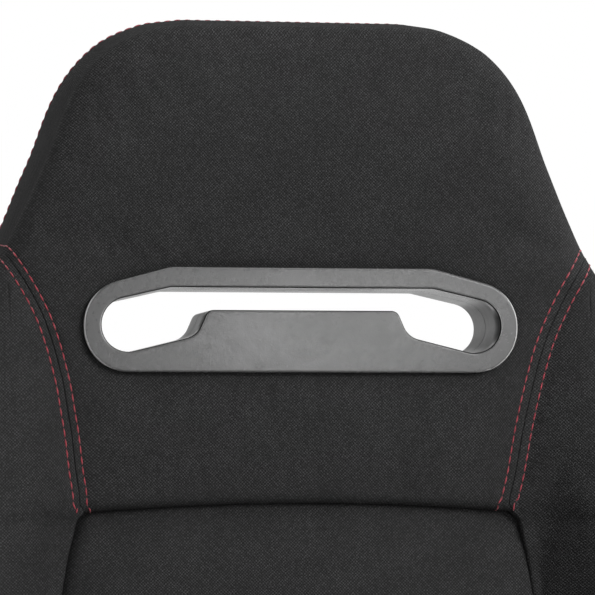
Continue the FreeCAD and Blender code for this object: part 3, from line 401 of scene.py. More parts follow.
# ---- materials -------------------------------------------
class Nodes:
    """Short names for building a material's node tree."""

    def __init__(self, name):
        self.material = bpy.data.materials.new(name)
        self.material.use_nodes = True
        self.tree = self.material.node_tree
        self.tree.nodes.clear()
        self.out = self.tree.nodes.new("ShaderNodeOutputMaterial")
        self.shader = self.tree.nodes.new("ShaderNodeBsdfPrincipled")
        self.link(self.shader.outputs[0], self.out.inputs["Surface"])

    def link(self, a, b):
        self.tree.links.new(a, b)

    def set(self, socket, value):
        if hasattr(value, "is_output"):
            self.link(value, socket)
        else:
            socket.default_value = value

    def node(self, kind, output=0, props=None, **inputs):
        made = self.tree.nodes.new("ShaderNode" + kind)
        for key, value in (props or {}).items():
            setattr(made, key, value)
        for key, value in inputs.items():
            key = key.replace("_", " ")
            self.set(made.inputs[int(key[1:]) if key[0] == "i" and key[1:].isdigit() else key], value)
        return made.outputs[output]

    def math(self, operation, a, b=0.0):
        return self.node("Math", props={"operation": operation}, i0=a, i1=b)

    def times(self, a, b):
        return self.math("MULTIPLY", a, b)

    def less(self, a, b):
        return self.math("SUBTRACT", a, b)

    def choose(self, which, a, b):
        return self.node("Mix", props={"data_type": "FLOAT"}, i0=which, i2=a, i3=b)

    def noise(self, where, scale, detail=2.0, rough=0.5):
        return self.node("TexNoise", Vector=where, Scale=scale, Detail=detail, Roughness=rough)

    def ramp(self, value, low, high, a=0.0, b=1.0):
        return self.node("MapRange", Value=value, From_Min=low, From_Max=high, To_Min=a, To_Max=b)

    def mix(self, share, a, b):
        return self.node("Mix", 2, props={"data_type": "RGBA"}, i0=share, i6=a, i7=b)

    def bump(self, height, distance, strength, normal=None):
        under = {} if normal is None else {"Normal": normal}
        return self.node("Bump", Height=height, Distance=distance, Strength=strength, **under)

    def finish(self, **inputs):
        for key, value in inputs.items():
            self.set(self.shader.inputs[key.replace("_", " ")], value)
        return self.material


def grey(v):
    return (v, v, v, 1)


def woven_cloth(name, dark, light, pitch=1.12):
    """Fine dotted weave: raised yarn crossings in a staggered grid, in the cloth's own coordinates."""
    m = Nodes(name)
    place = m.node("Attribute", 1, props={"attribute_name": "cloth_mm"})
    wobble = m.node("VectorMath", props={"operation": "SCALE"},
                    i0=m.node("TexNoise", 1, Vector=place, Scale=0.3, Detail=1.0), Scale=1.1)
    place = m.node("VectorMath", props={"operation": "ADD"}, i0=place, i1=wobble)
    split = m.tree.nodes.new("ShaderNodeSeparateXYZ")
    m.link(place, split.inputs[0])
    across, along_it = split.outputs[0], split.outputs[1]
    waves = [m.math("SINE", m.times(c, math.pi / pitch)) for c in (across, along_it)]
    weave = m.times(*waves)
    raised = m.ramp(weave, -0.6, 0.9)
    cell = m.node("CombineXYZ", X=m.math("FLOOR", m.math("DIVIDE", across, pitch)),
                  Y=m.math("FLOOR", m.math("DIVIDE", along_it, pitch)))
    lot = m.node("TexWhiteNoise", 0, Vector=cell)
    blotch = m.noise(place, 0.03, 3.0)
    fuzz = m.noise(place, 1.6, 3.0, 0.7)
    yarn = m.times(raised, m.ramp(lot, 0.0, 1.0, 0.35, 1.3))
    yarn = m.times(yarn, m.ramp(fuzz, 0.25, 0.75, 0.4, 1.3))
    colour = m.mix(yarn, grey(dark), (light, light, light * 1.02, 1))
    colour = m.mix(m.ramp(blotch, 0.35, 0.7, 0.0, 0.22), colour, grey(dark * 0.7))
    height = m.math("ADD", m.times(raised, 0.8), m.times(fuzz, 0.45))
    normal = m.bump(height, 0.00032, 1.0)
    return m.finish(Base_Color=colour, Roughness=m.ramp(fuzz, 0.2, 0.8, 0.8, 0.98), Normal=normal,
                    Specular_IOR_Level=0.07)


def thread(name, colour):
    """Twisted sewing thread, with painted shade where it dips into the cloth."""
    m = Nodes(name)
    place = m.node("TexCoord", 3)
    twist = m.node("TexWave", 1, props={"bands_direction": "DIAGONAL"}, Vector=place, Scale=900.0,
                   Distortion=1.5)
    dip = m.node("Attribute", 2, props={"attribute_name": "dip"})
    shade = m.mix(twist, (colour[0] * 0.5, colour[1] * 0.5, colour[2] * 0.5, 1), (*colour, 1))
    # Painted shade: the stitch's ends, where the thread dips into the cloth, are darkened.
    shade = m.mix(m.ramp(dip, 0.25, 0.95), shade, (colour[0] * 0.3, colour[1] * 0.16, colour[2] * 0.2, 1))
    return m.finish(Base_Color=shade, Roughness=0.55, Normal=m.bump(twist, 0.0001, 0.8), Sheen_Weight=0.3)


def moulded_plastic(name, value, rough, grain=900.0, depth=0.00006, scuffs=0.25, spec=0.5,
                    mottle=0.0, crown=None):
    """Moulded plastic: fine spark grain, slow gloss changes, and paler rubbed spots."""
    m = Nodes(name)
    place = m.node("TexCoord", 3)
    spark = m.noise(place, grain, 3.0, 0.6)
    cloud = m.noise(place, 14.0, 4.0)
    rub = m.ramp(m.noise(place, 55.0, 5.0, 0.65), 0.55, 0.8, 0.0, scuffs)
    colour = m.mix(rub, grey(value), grey(min(1, value * 1.9 + 0.02)))
    colour = m.mix(m.ramp(cloud, 0.3, 0.7, 0.0, 0.25), colour, grey(value * 0.75))
    patch = m.noise(place, 150.0, 4.0, 0.7)
    gloss = m.math("ADD", m.ramp(cloud, 0.3, 0.7, *rough), m.ramp(patch, 0.3, 0.7, -0.02, 0.03))
    ripple = m.bump(patch, mottle, 1.0)
    if crown is not None:
        colour, ripple, dull = crown(m, place, colour, ripple)
        spec = m.ramp(dull, 0.0, 1.0, spec, spec * 0.1)
        gloss = m.math("ADD", gloss, m.times(dull, 0.4))
    return m.finish(Base_Color=colour, Roughness=gloss, Normal=m.bump(spark, depth, 0.7, ripple),
                    Specular_IOR_Level=spec)


def along_axis(m, vector, axis):
    """The part of a vector along a fixed axis."""
    return m.node("VectorMath", 1, props={"operation": "DOT_PRODUCT"}, i0=vector, i1=tuple(axis))


def bezel_crown(m, place, colour, normal):
    """The bezel's face is slightly crowned. Painted highlights pale the sideways-facing fillets at the ends of its
    outer edge and along its inner edge; painted shade darkens its inner lip and the side walls of its slot, which
    are also made dull. Gives the colour, the normal and how dull it is."""
    up, ahead = (0.0, math.sin(LEAN), math.cos(LEAN)), (0.0, -math.cos(LEAN), math.sin(LEAN))
    middle = on_back(np.zeros(1), np.full(1, SLOT_Z), np.zeros(1))[0]
    from_middle = m.node("VectorMath", props={"operation": "SUBTRACT"}, i0=place, i1=tuple(middle))
    x, z, depth = (along_axis(m, from_middle, axis) for axis in ((1, 0, 0), up, ahead))
    bulge = m.math("ADD", m.times(m.times(x, x), -0.10),
                   m.times(m.times(z, z), -0.35))
    normal = m.bump(bulge, 1.0, 1.0, normal)

    half, radius = (BEZEL_HALF - END_RADIUS) * MM, END_RADIUS * MM
    width = m.math("ABSOLUTE", x)
    slant = m.times(m.math("MAXIMUM", m.less(width, SHOULDER * MM), 0.0), SLANT)
    under_head = m.less(m.less(BEZEL_HEAD * MM, z), slant)
    middle_gap = m.math("MINIMUM", m.math("ADD", z, BEZEL_FOOT * MM), under_head)
    reach = m.node("VectorMath", 1, props={"operation": "LENGTH"},
                   i0=m.node("CombineXYZ", X=m.less(width, half), Y=m.math("ADD", z, END_DROP * MM)))
    at_end = m.math("GREATER_THAN", width, half)
    gap = m.choose(at_end, middle_gap, m.less(radius, reach))
    inner = m.math("GREATER_THAN", gap, 2.5 * MM)

    facing = m.node("TexCoord", 1)
    tilt = m.less(1.0, along_axis(m, facing, ahead))
    side = m.math("ABSOLUTE", along_axis(m, facing, (1, 0, 0)))
    from_above = m.times(m.math("MAXIMUM", along_axis(m, facing, up), 0.0), 0.5)
    sideways = m.ramp(m.less(side, from_above), 0.15, 0.45)
    # masks for the painted highlights on the edge fillets, outer and inner
    outer_rim_highlight = m.times(m.ramp(tilt, 0.03, 0.12), m.ramp(tilt, 0.6, 0.8, 1.0, 0.0))
    inner_rim_highlight = m.times(m.ramp(tilt, 0.004, 0.02), m.ramp(tilt, 0.08, 0.16, 1.0, 0.0))
    rim = m.choose(inner, outer_rim_highlight, inner_rim_highlight)
    # Painted highlight: edge fillets that face sideways rather than up are paled towards grey 0.6.
    colour = m.mix(m.times(m.times(rim, sideways), 0.85), colour, grey(0.6))
    # Painted shade: the slot's side walls deep behind the face are darkened towards grey 0.03.
    shaded = m.times(m.ramp(side, 0.3, 0.7), m.ramp(depth, 0.044, 0.05, 0.8, 0.0))
    colour = m.mix(m.times(shaded, inner), colour, grey(0.03))
    # Painted shade: the inner lip and the front of the slot's side walls are darkened nearly to black.
    lip = m.times(m.ramp(tilt, 0.12, 0.3), m.ramp(tilt, 0.8, 0.95, 1.0, 0.0))
    throat_shade = m.times(m.ramp(side, 0.75, 0.95), m.ramp(depth, 0.026, 0.05))
    dark = m.math("MAXIMUM", lip, m.times(throat_shade, 0.9))
    dull = m.times(m.math("MAXIMUM", dark, m.times(shaded, 0.4)), inner)
    # the painted shade of the lip and the slot's walls goes into the colour here
    return m.mix(m.times(dark, inner), colour, grey(0.004)), normal, dull


def worn_metal(name, colour, rough, metallic=1.0, coat=0.0, grain=260.0, depth=0.00003):
    """Sheet or bar metal: streaky finish, faint stains, and a bump that follows the grain."""
    m = Nodes(name)
    place = m.node("TexCoord", 3)
    stretch = m.node("Mapping", Vector=place, Scale=(1.0, 0.12, 1.0))
    streak = m.noise(stretch, grain, 4.0, 0.6)
    stain = m.noise(place, 22.0, 5.0, 0.6)
    shade = m.mix(m.ramp(stain, 0.4, 0.75), (*colour, 1), tuple(c * 0.62 for c in colour) + (1,))
    bright = tuple(min(1, c * 1.25 + 0.02) for c in colour) + (1,)
    shade = m.mix(m.ramp(streak, 0.3, 0.8, 0.0, 0.25), shade, bright)
    gloss = m.math("ADD", m.ramp(stain, 0.3, 0.8, rough[0], rough[1]), m.ramp(streak, 0.2, 0.8, -0.04, 0.06))
    return m.finish(Base_Color=shade, Metallic=metallic, Roughness=gloss, Normal=m.bump(streak, depth, 0.6),
                    Coat_Weight=coat, Coat_Roughness=0.25)


def foam_rubber(name, colour, scale=450.0):
    """Open-celled moulded foam."""
    m = Nodes(name)
    place = m.node("TexCoord", 3)
    cells = m.node("TexVoronoi", 0, Vector=place, Scale=scale)
    shade = m.mix(m.ramp(cells, 0.0, 0.6), tuple(c * 0.6 for c in colour) + (1,), (*colour, 1))
    return m.finish(Base_Color=shade, Roughness=0.9, Normal=m.bump(cells, 0.0004, 0.8))


CLOTH = woven_cloth("woven_black_cloth", 0.0165, 0.058)
CLOTH_REAR = woven_cloth("woven_black_cloth_rear", 0.0165, 0.052, pitch=1.4)
THREAD = thread("red_thread", (0.46, 0.03, 0.055))
BEZEL = moulded_plastic("bezel_satin_grey", 0.09, rough=(0.24, 0.3), scuffs=0.08, mottle=0.00012,
                        crown=bezel_crown)
TRIM = moulded_plastic("trim_grained_black", 0.022, rough=(0.42, 0.6), grain=420.0, depth=0.00018)
SLOT_LOOKS = {
    "rail_zinc": worn_metal("zinc_sheet", (0.5, 0.5, 0.49), (0.3, 0.5)),
    "bearing_steel": worn_metal("ground_steel", (0.6, 0.6, 0.61), (0.15, 0.28)),
    "plated_hardware": worn_metal("yellow_zinc", (0.52, 0.46, 0.3), (0.24, 0.42)),
    "frame_black": worn_metal("black_powder_coat", (0.018, 0.018, 0.02), (0.38, 0.55), metallic=0.0,
                              coat=0.15, grain=600.0, depth=0.00008),
    "spring_steel": worn_metal("spring_wire", (0.2, 0.2, 0.21), (0.28, 0.45)),
    "trim_plastic": TRIM,
    "bezel_plastic": BEZEL,
    "black_screws": worn_metal("black_oxide", (0.03, 0.03, 0.032), (0.3, 0.42), metallic=0.6),
    "handle_rubber": moulded_plastic("handle_rubber", 0.014, rough=(0.6, 0.75), grain=300.0, depth=0.0003),
    "foam": foam_rubber("moulded_foam", (0.05, 0.05, 0.052)),
    "seat_cloth": CLOTH_REAR,
}
for entry in frame["record"]["subparts"]:
    node = frame["nodes"][entry["node"]]
    node.data.materials.clear()
    node.data.materials.append(SLOT_LOOKS[entry["material_slot"]])


# ---- backrest covers -------------------------------------
def fold(u):
    """Height of the fold over the insert."""
    return FOLD - 5.8 * (np.asarray(u, float) / CORNER[0]) ** 2


def corner_arc(start, end, grow, count=16):
    """Part of the insert's rounded top right corner, between two angles in degrees."""
    t = np.radians(np.linspace(start, end, count))
    x, z, rx, rz = CORNER
    return np.stack([x + (rx + grow) * np.cos(t), z + (rz + grow) * np.sin(t)], -1)


def over_fold(end, grow=0.0):
    """The fold over the insert, from corner to corner, starting and ending at an angle in degrees."""
    right = corner_arc(90, end, grow)
    u = np.linspace(-CORNER[0], CORNER[0], 121)[1:-1]
    return np.concatenate([(right * [-1, 1])[::-1], np.stack([u, fold(u) + grow], -1), right])


def bezel_level(flat):
    """How far inside the slot's bezel a place on the backrest is, in from its outer edge."""
    x, z = np.abs(flat[:, 0]), flat[:, 1] - SLOT_Z
    shoulder = (BEZEL_HEAD - SLANT * (x - SHOULDER) - z) * SLANT_COSINE
    middle = np.minimum(z + BEZEL_FOOT, np.minimum(BEZEL_HEAD - z, shoulder))
    end = END_RADIUS - np.hypot(x - (BEZEL_HALF - END_RADIUS), z + END_DROP)
    return np.where(x < BEZEL_HALF - END_RADIUS, middle, end)


def head_front(a, b):
    crown = 4.0 * np.clip((np.abs(a) - 158) / 50, 0, 1) ** 2
    tuck = 2.0 * np.exp(np.minimum(bezel_level(np.stack([a, b], -1)) - 0.5, 0) / 2.4)
    return curve(HEAD_DEPTH, b) - crown - tuck


def insert_front(a, b):
    return curve(INSERT_DEPTH, b) - 4.0 * (a / 160.0) ** 2


def wing_front(a, b):
    inner, outer = curve(SEAM, b), curve(OUTLINE, b)
    f = np.clip((np.abs(a) - inner) / np.maximum(outer - inner, 8), 0, 1)
    valley, crest = curve(VALLEY, b), curve(CREST, b)
    peak = 0.62
    rise = valley + (crest - valley) * smooth(f / peak)
    fall = crest - (crest * 0.30) * np.clip((f - peak) / (1 - peak), 0, 1) ** 2
    return np.where(f < peak, rise, fall)


def seam_path(v0, v1, shift=0.0, count=600):
    v = np.linspace(v0, v1, count)
    return np.stack([curve(SEAM, v) + shift, v], -1)


def outline_path(v0, v1, count=240):
    v = np.linspace(v0, v1, count)
    return np.stack([curve(OUTLINE, v), v], -1)


def arch(v0):
    """The outline from the left at height v0, over the top, to the right."""
    v = v0 + (TOP - v0) * np.sin(np.linspace(0, math.pi / 2, 200))
    right = np.stack([curve(OUTLINE, v), v], -1)[:-1]
    left = right * [-1, 1]
    middle = line((-curve(OUTLINE, TOP), TOP), (curve(OUTLINE, TOP), TOP))[1:-1]
    return np.concatenate([left, middle, right[::-1]])


def flared(path, shift):
    """The outline as it is at the covers' rear edge."""
    return path + outward_of(path) * (curve(FLARE, path[:, 1]) + shift)[:, None]


def side_rings(count=9):
    """The cloth's run from a rolled edge back to the rear seam: a slight belly, then the seam's tuck."""
    rings = []
    for k in range(1, count + 1):
        f = k / count
        rings.append((1.6 * math.sin(math.pi * f), lambda d, f=f: d + (-REAR + 1.5 - d) * f, f))
    return rings + [(-0.8, -REAR + 0.6, 1), (-2.4, -REAR + 0.2, 1), (-5.5, -REAR, 1)]


def curtain(depth, under=0.8):
    """The cloth's run down into a seam, a little under its neighbour."""
    return [(under * k / 4, lambda d, k=k: d - depth * k / 4, 0) for k in range(1, 5)]


ROLL_LINES = [0, 0.5, 1.7, 3.6, 6.2, 9.4, 13.0, 17.0, 21.5, 26.0, 31.0]
HEAD_ROLL = 24.0

low_edge = over_fold(64.0)
right_seam = np.concatenate([[low_edge[-1]], seam_path(456.8, JOIN - 0.6), arch(JOIN)[-1:]])
head = Panel(
    "head_cover", (low_edge, right_seam, arch(JOIN), right_seam * [-1, 1]), head_front, on_back,
    ([0, 0.6, 1.8, 3.6, 6.0, 9.0, 13.0], TOPSTITCH_LINES, ROLL_LINES, TOPSTITCH_LINES),
    (rolled(9.0, 1.5), topstitch, rolled(HEAD_ROLL), topstitch), (150, 100))
head.extend(head.rim("top"), side_rings(), FLARE)
head.extend(head.rim("bottom"), curtain(12, -1.0))
head.extend(head.rim("right"), curtain(5))
head.extend(head.rim("left"), curtain(5))
head.fixed[:len(head.flat)] |= bezel_level(head.flat) > -5.0      # held down round the bezel
head.cut(bezel_level, HOLE_RIM)
head.puff(3.2)
head_piece = head.piece("backrest", CLOTH, "head_pad", "back_boxing")

inner = seam_path(LOW + 2, JOIN - 1.0)
outer = outline_path(LOW, JOIN)


def plain_below_fold(e, s):
    """The wing's inner seam: topstitched beside the head panel, a plain seam beside the insert."""
    path = along(inner)
    height = np.interp(s, path, inner[:, 1])
    share = smooth((height - 450) / 8)
    plain = 2.2 * np.exp(-e / 0.5) + 1.2 * np.exp(-e / 3.0)
    return share * topstitch(e, s) + (1 - share) * plain


wing = Panel(
    "back_wing_cover", (line(inner[0] + [0, -2], outer[0]), outer, line(inner[-1], outer[-1]), inner),
    wing_front, on_back, (ROLL_LINES[:9], ROLL_LINES, [0, 0.6, 1.6, 3.0], TOPSTITCH_LINES),
    (rolled(16.0), rolled(HEAD_ROLL), None, plain_below_fold), (22, 210))
wing.extend(wing.rim("bottom", "right"), side_rings(), FLARE)
wing.extend(wing.rim("left"), curtain(9))
wing.puff(3.5)
wing_right = wing.piece("backrest", CLOTH, "back_wing_right", "back_boxing", name="back_wing_cover_right")
wing_left = wing.piece("backrest", CLOTH, "back_wing_left", "back_boxing", mirror=True,
                       name="back_wing_cover_left")

top_edge = over_fold(45.0, 2.0)
side = np.concatenate([seam_path(LOW + 2, 446, 2.0), corner_arc(0, 45, 2.0)[1:]])
insert = Panel(
    "back_insert_cover",
    (line(side[0] * [-1, 1] + [0, -2], side[0] + [0, -2]), side, top_edge, side * [-1, 1]),
    insert_front, on_back, (ROLL_LINES[:9], PLAIN_LINES, PLAIN_LINES, PLAIN_LINES),
    (rolled(16.0), sloped(7.0, 3.0), sloped(5.0, 3.0), sloped(9.0, 9.5)), (60, 100), corner=4.0)
insert.extend(insert.rim("bottom"), side_rings())
for edge in ("right", "top", "left"):
    insert.extend(insert.rim(edge), curtain(8))
insert.puff(4.0)
insert_piece = insert.piece("backrest", CLOTH, "back_insert", "back_boxing")

REAR_LINES = [0, 0.4, 1.0, 2.0, 3.5, 5.5, 8.0]
rear_side = flared(outline_path(LOW, 770), -1.5)
over = flared(arch(770)[::-1], -1.5)[::-1]
rear = Panel(
    "back_rear_cover", (line(rear_side[0] * [-1, 1], rear_side[0]), rear_side, over, rear_side * [-1, 1]),
    lambda a, b: 35.7 + 0 * a, on_rear, (REAR_LINES,) * 4, (rolled(4.0, 1.0),) * 4, (70, 110), thickness=1.2)
rear.cut(bezel_level, HOLE_RIM)
rear.piece("backrest", CLOTH_REAR, "back_rear_panel")


# ---- cushion covers --------------------------------------
def seat_front(a, b):
    return curve(CUSHION_TOP, b) - 5.0 * (a / CUSHION_HALF) ** 2


def down_rings(count=8):
    """The cloth's run from a cushion's edge down its side, with a tuck at the hem."""
    rings = [(1.5 * math.sin(math.pi * k / count), lambda d, f=k / count: d + (CUSHION_BASE + 1.5 - d) * f, 0)
             for k in range(1, count + 1)]
    return rings + [(-1.5, CUSHION_BASE + 0.6, 0), (-4.0, CUSHION_BASE + 0.2, 0), (-8.0, CUSHION_BASE, 0)]


half = CUSHION_HALF
center = Panel(
    "cushion_center_cover",
    (line((-half, NOSE_Y + 0.4), (half, NOSE_Y + 0.4)), line((half, NOSE_Y + 0.4), (half, CUSHION_REAR)),
     line((-half, CUSHION_REAR), (half, CUSHION_REAR)), line((-half, NOSE_Y + 0.4), (-half, CUSHION_REAR))),
    seat_front, on_cushion, (TOPSTITCH_LINES, PLAIN_LINES, ROLL_LINES, PLAIN_LINES),
    (topstitch, rolled(9.0, 5.0), rolled(26.0), rolled(9.0, 5.0)), (60, 60))
center.extend(center.rim("right", "top", "left"), down_rings())
center.extend(center.rim("bottom"), curtain(10))
center.puff(6.0)
center_piece = center.piece("seat_base", CLOTH, "cushion_center")

nose = Panel(
    "cushion_nose_cover",
    (line((-half, CUSHION_FRONT), (half, CUSHION_FRONT)), line((half, CUSHION_FRONT), (half, NOSE_Y - 0.4)),
     line((-half, NOSE_Y - 0.4), (half, NOSE_Y - 0.4)), line((-half, CUSHION_FRONT), (-half, NOSE_Y - 0.4))),
    seat_front, on_cushion,
    ([0, 0.6, 2.2, 5.0, 9.0, 14.0, 20.0, 27.0, 35.0, 44.0], PLAIN_LINES, TOPSTITCH_LINES, PLAIN_LINES),
    (rolled(44.0), rolled(9.0, 5.0), topstitch, rolled(9.0, 5.0)), (60, 16))
nose.extend(nose.rim("left", "bottom", "right"), down_rings())
nose.extend(nose.rim("top"), curtain(10))
nose.puff(5.0)
nose_piece = nose.piece("seat_base", CLOTH, "cushion_nose")


def bolster_outer(y):
    return 250 - 22 * np.clip((y - 20) / 77, 0, 1) ** 2 - 12 * np.clip((-150 - y) / 112, 0, 1) ** 2


def bolster_front(a, b):
    lo, hi = half + 0.8, bolster_outer(b)
    f = np.clip((np.abs(a) - lo) / (hi - lo), 0, 1)
    top, base = curve(BOLSTER_TOP, b), seat_front(np.full_like(b, half), b)
    crest = 0.55
    rise = base + (top - base) * smooth(f / crest)
    fall = top - 26.0 * np.clip((f - crest) / (1 - crest), 0, 1) ** 2
    return np.where(f < crest, rise, fall)


y_run = np.linspace(-262, 97, 120)
bolster = Panel(
    "cushion_bolster_cover",
    (line((half + 0.8, -262), (bolster_outer(-262.0), -262)), np.stack([bolster_outer(y_run), y_run], -1),
     line((half + 0.8, 97), (bolster_outer(97.0), 97)), line((half + 0.8, -262), (half + 0.8, 97))),
    bolster_front, on_cushion, (ROLL_LINES, ROLL_LINES, ROLL_LINES, PLAIN_LINES),
    (rolled(30.0), rolled(22.0), rolled(26.0), rolled(7.0, 5.0)), (24, 90))
bolster.extend(bolster.rim("bottom", "right", "top"), down_rings())
bolster.extend(bolster.rim("left"), curtain(10))
bolster.puff(5.0)
bolster_right = bolster.piece("seat_base", CLOTH, "cushion_bolster_right", name="cushion_bolster_cover_right")
bolster_left = bolster.piece("seat_base", CLOTH, "cushion_bolster_left", mirror=True,
                             name="cushion_bolster_cover_left")


# ---- stitching -------------------------------------------
def surface(*objects):
    """A finder of the covers' outer surface, in the row frame."""
    points, faces = [], []
    for o in objects:
        start = len(points)
        points += [v.co.copy() for v in o.data.vertices]
        faces += [tuple(start + i for i in p.vertices) for p in o.data.polygons]
    return BVHTree.FromPolygons(points, faces)


def stitches(name, rows, body, pitch=STITCH_PITCH, length=6.5, radius=0.52):
    """Sewn rows: each stitch is a short arched thread with its ends sunk in the cloth. Each row is a list of
    (point, normal) samples along it."""
    points, faces, dips = [], [], []
    sides, cuts = 7, 9
    for row in rows:
        path = np.array([p for p, _ in row], float)
        normals = np.array([n for _, n in row], float)
        s = along(path) / MM
        count = int(s[-1] / pitch)
        for k in range(count):
            lo = (k + 0.05) * pitch
            at = np.linspace(lo, lo + length, cuts)
            centre = np.stack([np.interp(at, s, path[:, i]) for i in range(3)], -1)
            out = np.stack([np.interp(at, s, normals[:, i]) for i in range(3)], -1)
            out /= np.linalg.norm(out, axis=1, keepdims=True)
            ahead = np.gradient(centre, axis=0)
            ahead /= np.linalg.norm(ahead, axis=1, keepdims=True)
            across = np.cross(ahead, out)
            f = np.linspace(-1, 1, cuts)
            lift = (0.55 - 1.0 * np.abs(f) ** 2.2) * radius
            r = radius * (1 - 0.5 * np.abs(f) ** 2.5)
            start = len(points)
            for i in range(cuts):
                c = centre[i] + out[i] * lift[i] * MM
                dips += [abs(f[i])] * sides
                for j in range(sides):
                    angle = 2 * math.pi * j / sides
                    points.append(c + (across[i] * math.cos(angle) + out[i] * math.sin(angle)) * r[i] * MM)
            for i in range(cuts - 1):
                for j in range(sides):
                    a, b = start + i * sides + j, start + i * sides + (j + 1) % sides
                    faces.append((a, b, b + sides, a + sides))
            faces.append(tuple(start + j for j in reversed(range(sides))))
            faces.append(tuple(start + (cuts - 1) * sides + j for j in range(sides)))
    data = bpy.data.meshes.new(name)
    data.from_pydata([tuple(p) for p in points], [], faces)
    # dip: how near each ring lies to a stitch's sunk end, which the thread's painted shade darkens
    data.attributes.new("dip", "FLOAT", "POINT").data.foreach_set("value", np.array(dips, np.float32))
    data.materials.append(THREAD)
    data.shade_smooth()
    obj = placed(name, data)
    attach(obj, body)
    return obj


def row_on(tree, flat, place, direction):
    """A stitch row over flat points, as (point, normal) samples."""
    back, found = 0.4, []
    for p in place(flat[:, 0], flat[:, 1], np.zeros(len(flat))):
        hit, normal, _, _ = tree.ray_cast(Vector(p) - Vector(direction) * back, Vector(direction), back * 2)
        if hit is not None:
            found.append((np.array(hit), np.array(normal)))
    return found


def offset(path, d):
    return path + outward_of(path) * d


# how far each wing's seam stands across from SEAM, by height
LEFT_DRIFT = [(456, 0), (463, -3.6), (476, -3.0), (487, -2.6), (507, -1.7), (528, -0.9), (548, 0.3),
              (600, 0.8), (640, 0.8)]
RIGHT_DRIFT = [(456, 0), (463, -3.0), (476, -2.2), (500, -2.0), (570, -1.6), (600, -0.5), (640, -1.0)]


def settling(x, v):
    """How far the cloth near a wing's seam stands across from where it is drawn: covers never sit evenly."""
    inner = curve(SEAM, v)
    gap = np.abs(x) - inner
    right = curve(RIGHT_DRIFT, v) + 0.16 * gap
    left = curve(LEFT_DRIFT, v) + 0.09 * gap
    near = np.exp(-(gap / 15) ** 2) * smooth((v - 456) / 8)
    return np.where(x > 0, right, left) * near


def settle(obj):
    """Moves a cover's vertices across by the settling of its seams."""
    data = obj.data
    co = np.empty(len(data.vertices) * 3, np.float32)
    data.vertices.foreach_get("co", co)
    co = co.reshape(-1, 3).astype(float)
    rel = co / MM - PIVOT
    up = math.cos(LEAN) * rel[:, 2] + math.sin(LEAN) * rel[:, 1]
    out = math.sin(LEAN) * rel[:, 2] - math.cos(LEAN) * rel[:, 1]
    co[:, 0] += settling(co[:, 0] / MM, up) * smooth((out - 25) / 12) * MM
    data.vertices.foreach_set("co", co.astype(np.float32).ravel())
    data.update()


for cover in (head_piece, wing_right, wing_left):
    settle(cover)
back_skin = surface(head_piece, wing_right, wing_left, insert_piece)
zero = np.zeros(1)
inward = tuple(on_back(zero, zero, -np.ones(1))[0] / MM - on_back(zero, zero, zero)[0] / MM)


def from_outside(base, outward, depth):
    """Samples of the covers' sides: rays run in from outside the outline, one per depth."""
    found = []
    for (x, z), (nx, nz), d in zip(base, outward, depth):
        far, near = on_back(x + 30 * nx, z + 30 * nz, d), on_back(x, z, d)
        hit, normal, _, _ = back_skin.ray_cast(Vector(far), Vector(near - far).normalized(), 0.06)
        if hit is not None:
            found.append((np.array(hit), np.array(normal)))
    return found


def seam_row(side, d, start, end_shift):
    """A row beside a wing's seam: up the front, over the rolled edge and back along the side. side is 1 for
    the right wing and -1 for the left; end_shift moves the row's lower end across."""
    path = offset(seam_path(start, 670, count=1200), d)
    room = curve(OUTLINE, path[:, 1]) - path[:, 0]
    path = path[:np.argmax(room < 0.6)]
    path[:, 0] = side * (path[:, 0] + end_shift * smooth((468 - path[:, 1]) / 12))
    path[:, 0] += settling(path[:, 0], path[:, 1])
    front = row_on(back_skin, path, on_back, inward)
    v = path[-1, 1]
    edge = offset(outline_path(v - 2, v + 2, count=5), 1.0) - outline_path(v - 2, v + 2, count=5)
    depth = np.linspace(24, -REAR + 3, 160)
    base = np.repeat([[side * curve(OUTLINE, v), v]], len(depth), axis=0)
    return front + from_outside(base, np.repeat([edge[2] * [side, 1]], len(depth), axis=0), depth)


def mirrored(row):
    flip = np.array([-1, 1, 1])
    return [(p * flip, n * flip) for p, n in row]


rows = [seam_row(1, -STITCH_INSET, 458.0, -5.6), seam_row(1, STITCH_INSET, 456.6, -5.0),
        seam_row(-1, -STITCH_INSET, 457.5, 0.4), seam_row(-1, STITCH_INSET, 455.0, 0.0)]
stitches("back_topstitch", rows, "backrest")


def edge_row(path, ahead=4.5):
    """A row just ahead of the rear seam, on the sides of the backrest."""
    outward = offset(path, 1.0) - path
    return from_outside(path, outward, np.full(len(path), -REAR + ahead))


side_row = edge_row(outline_path(LOW + 6, JOIN, count=1400))
top_row = edge_row(sampled(arch(JOIN), np.linspace(0, 1, 1400))[::-1])
stitches("back_edge_stitch", [side_row, mirrored(side_row), top_row], "backrest")

seat_skin = surface(center_piece, nose_piece, bolster_right, bolster_left)
rows = []
for d in (-STITCH_INSET, STITCH_INSET):
    flat = line((-half + 7, NOSE_Y + d), (half - 7, NOSE_Y + d))
    rows.append(row_on(seat_skin, sampled(flat, np.linspace(0, 1, 500)), on_cushion, (0, 0, -1)))
stitches("cushion_topstitch", rows, "seat_base")


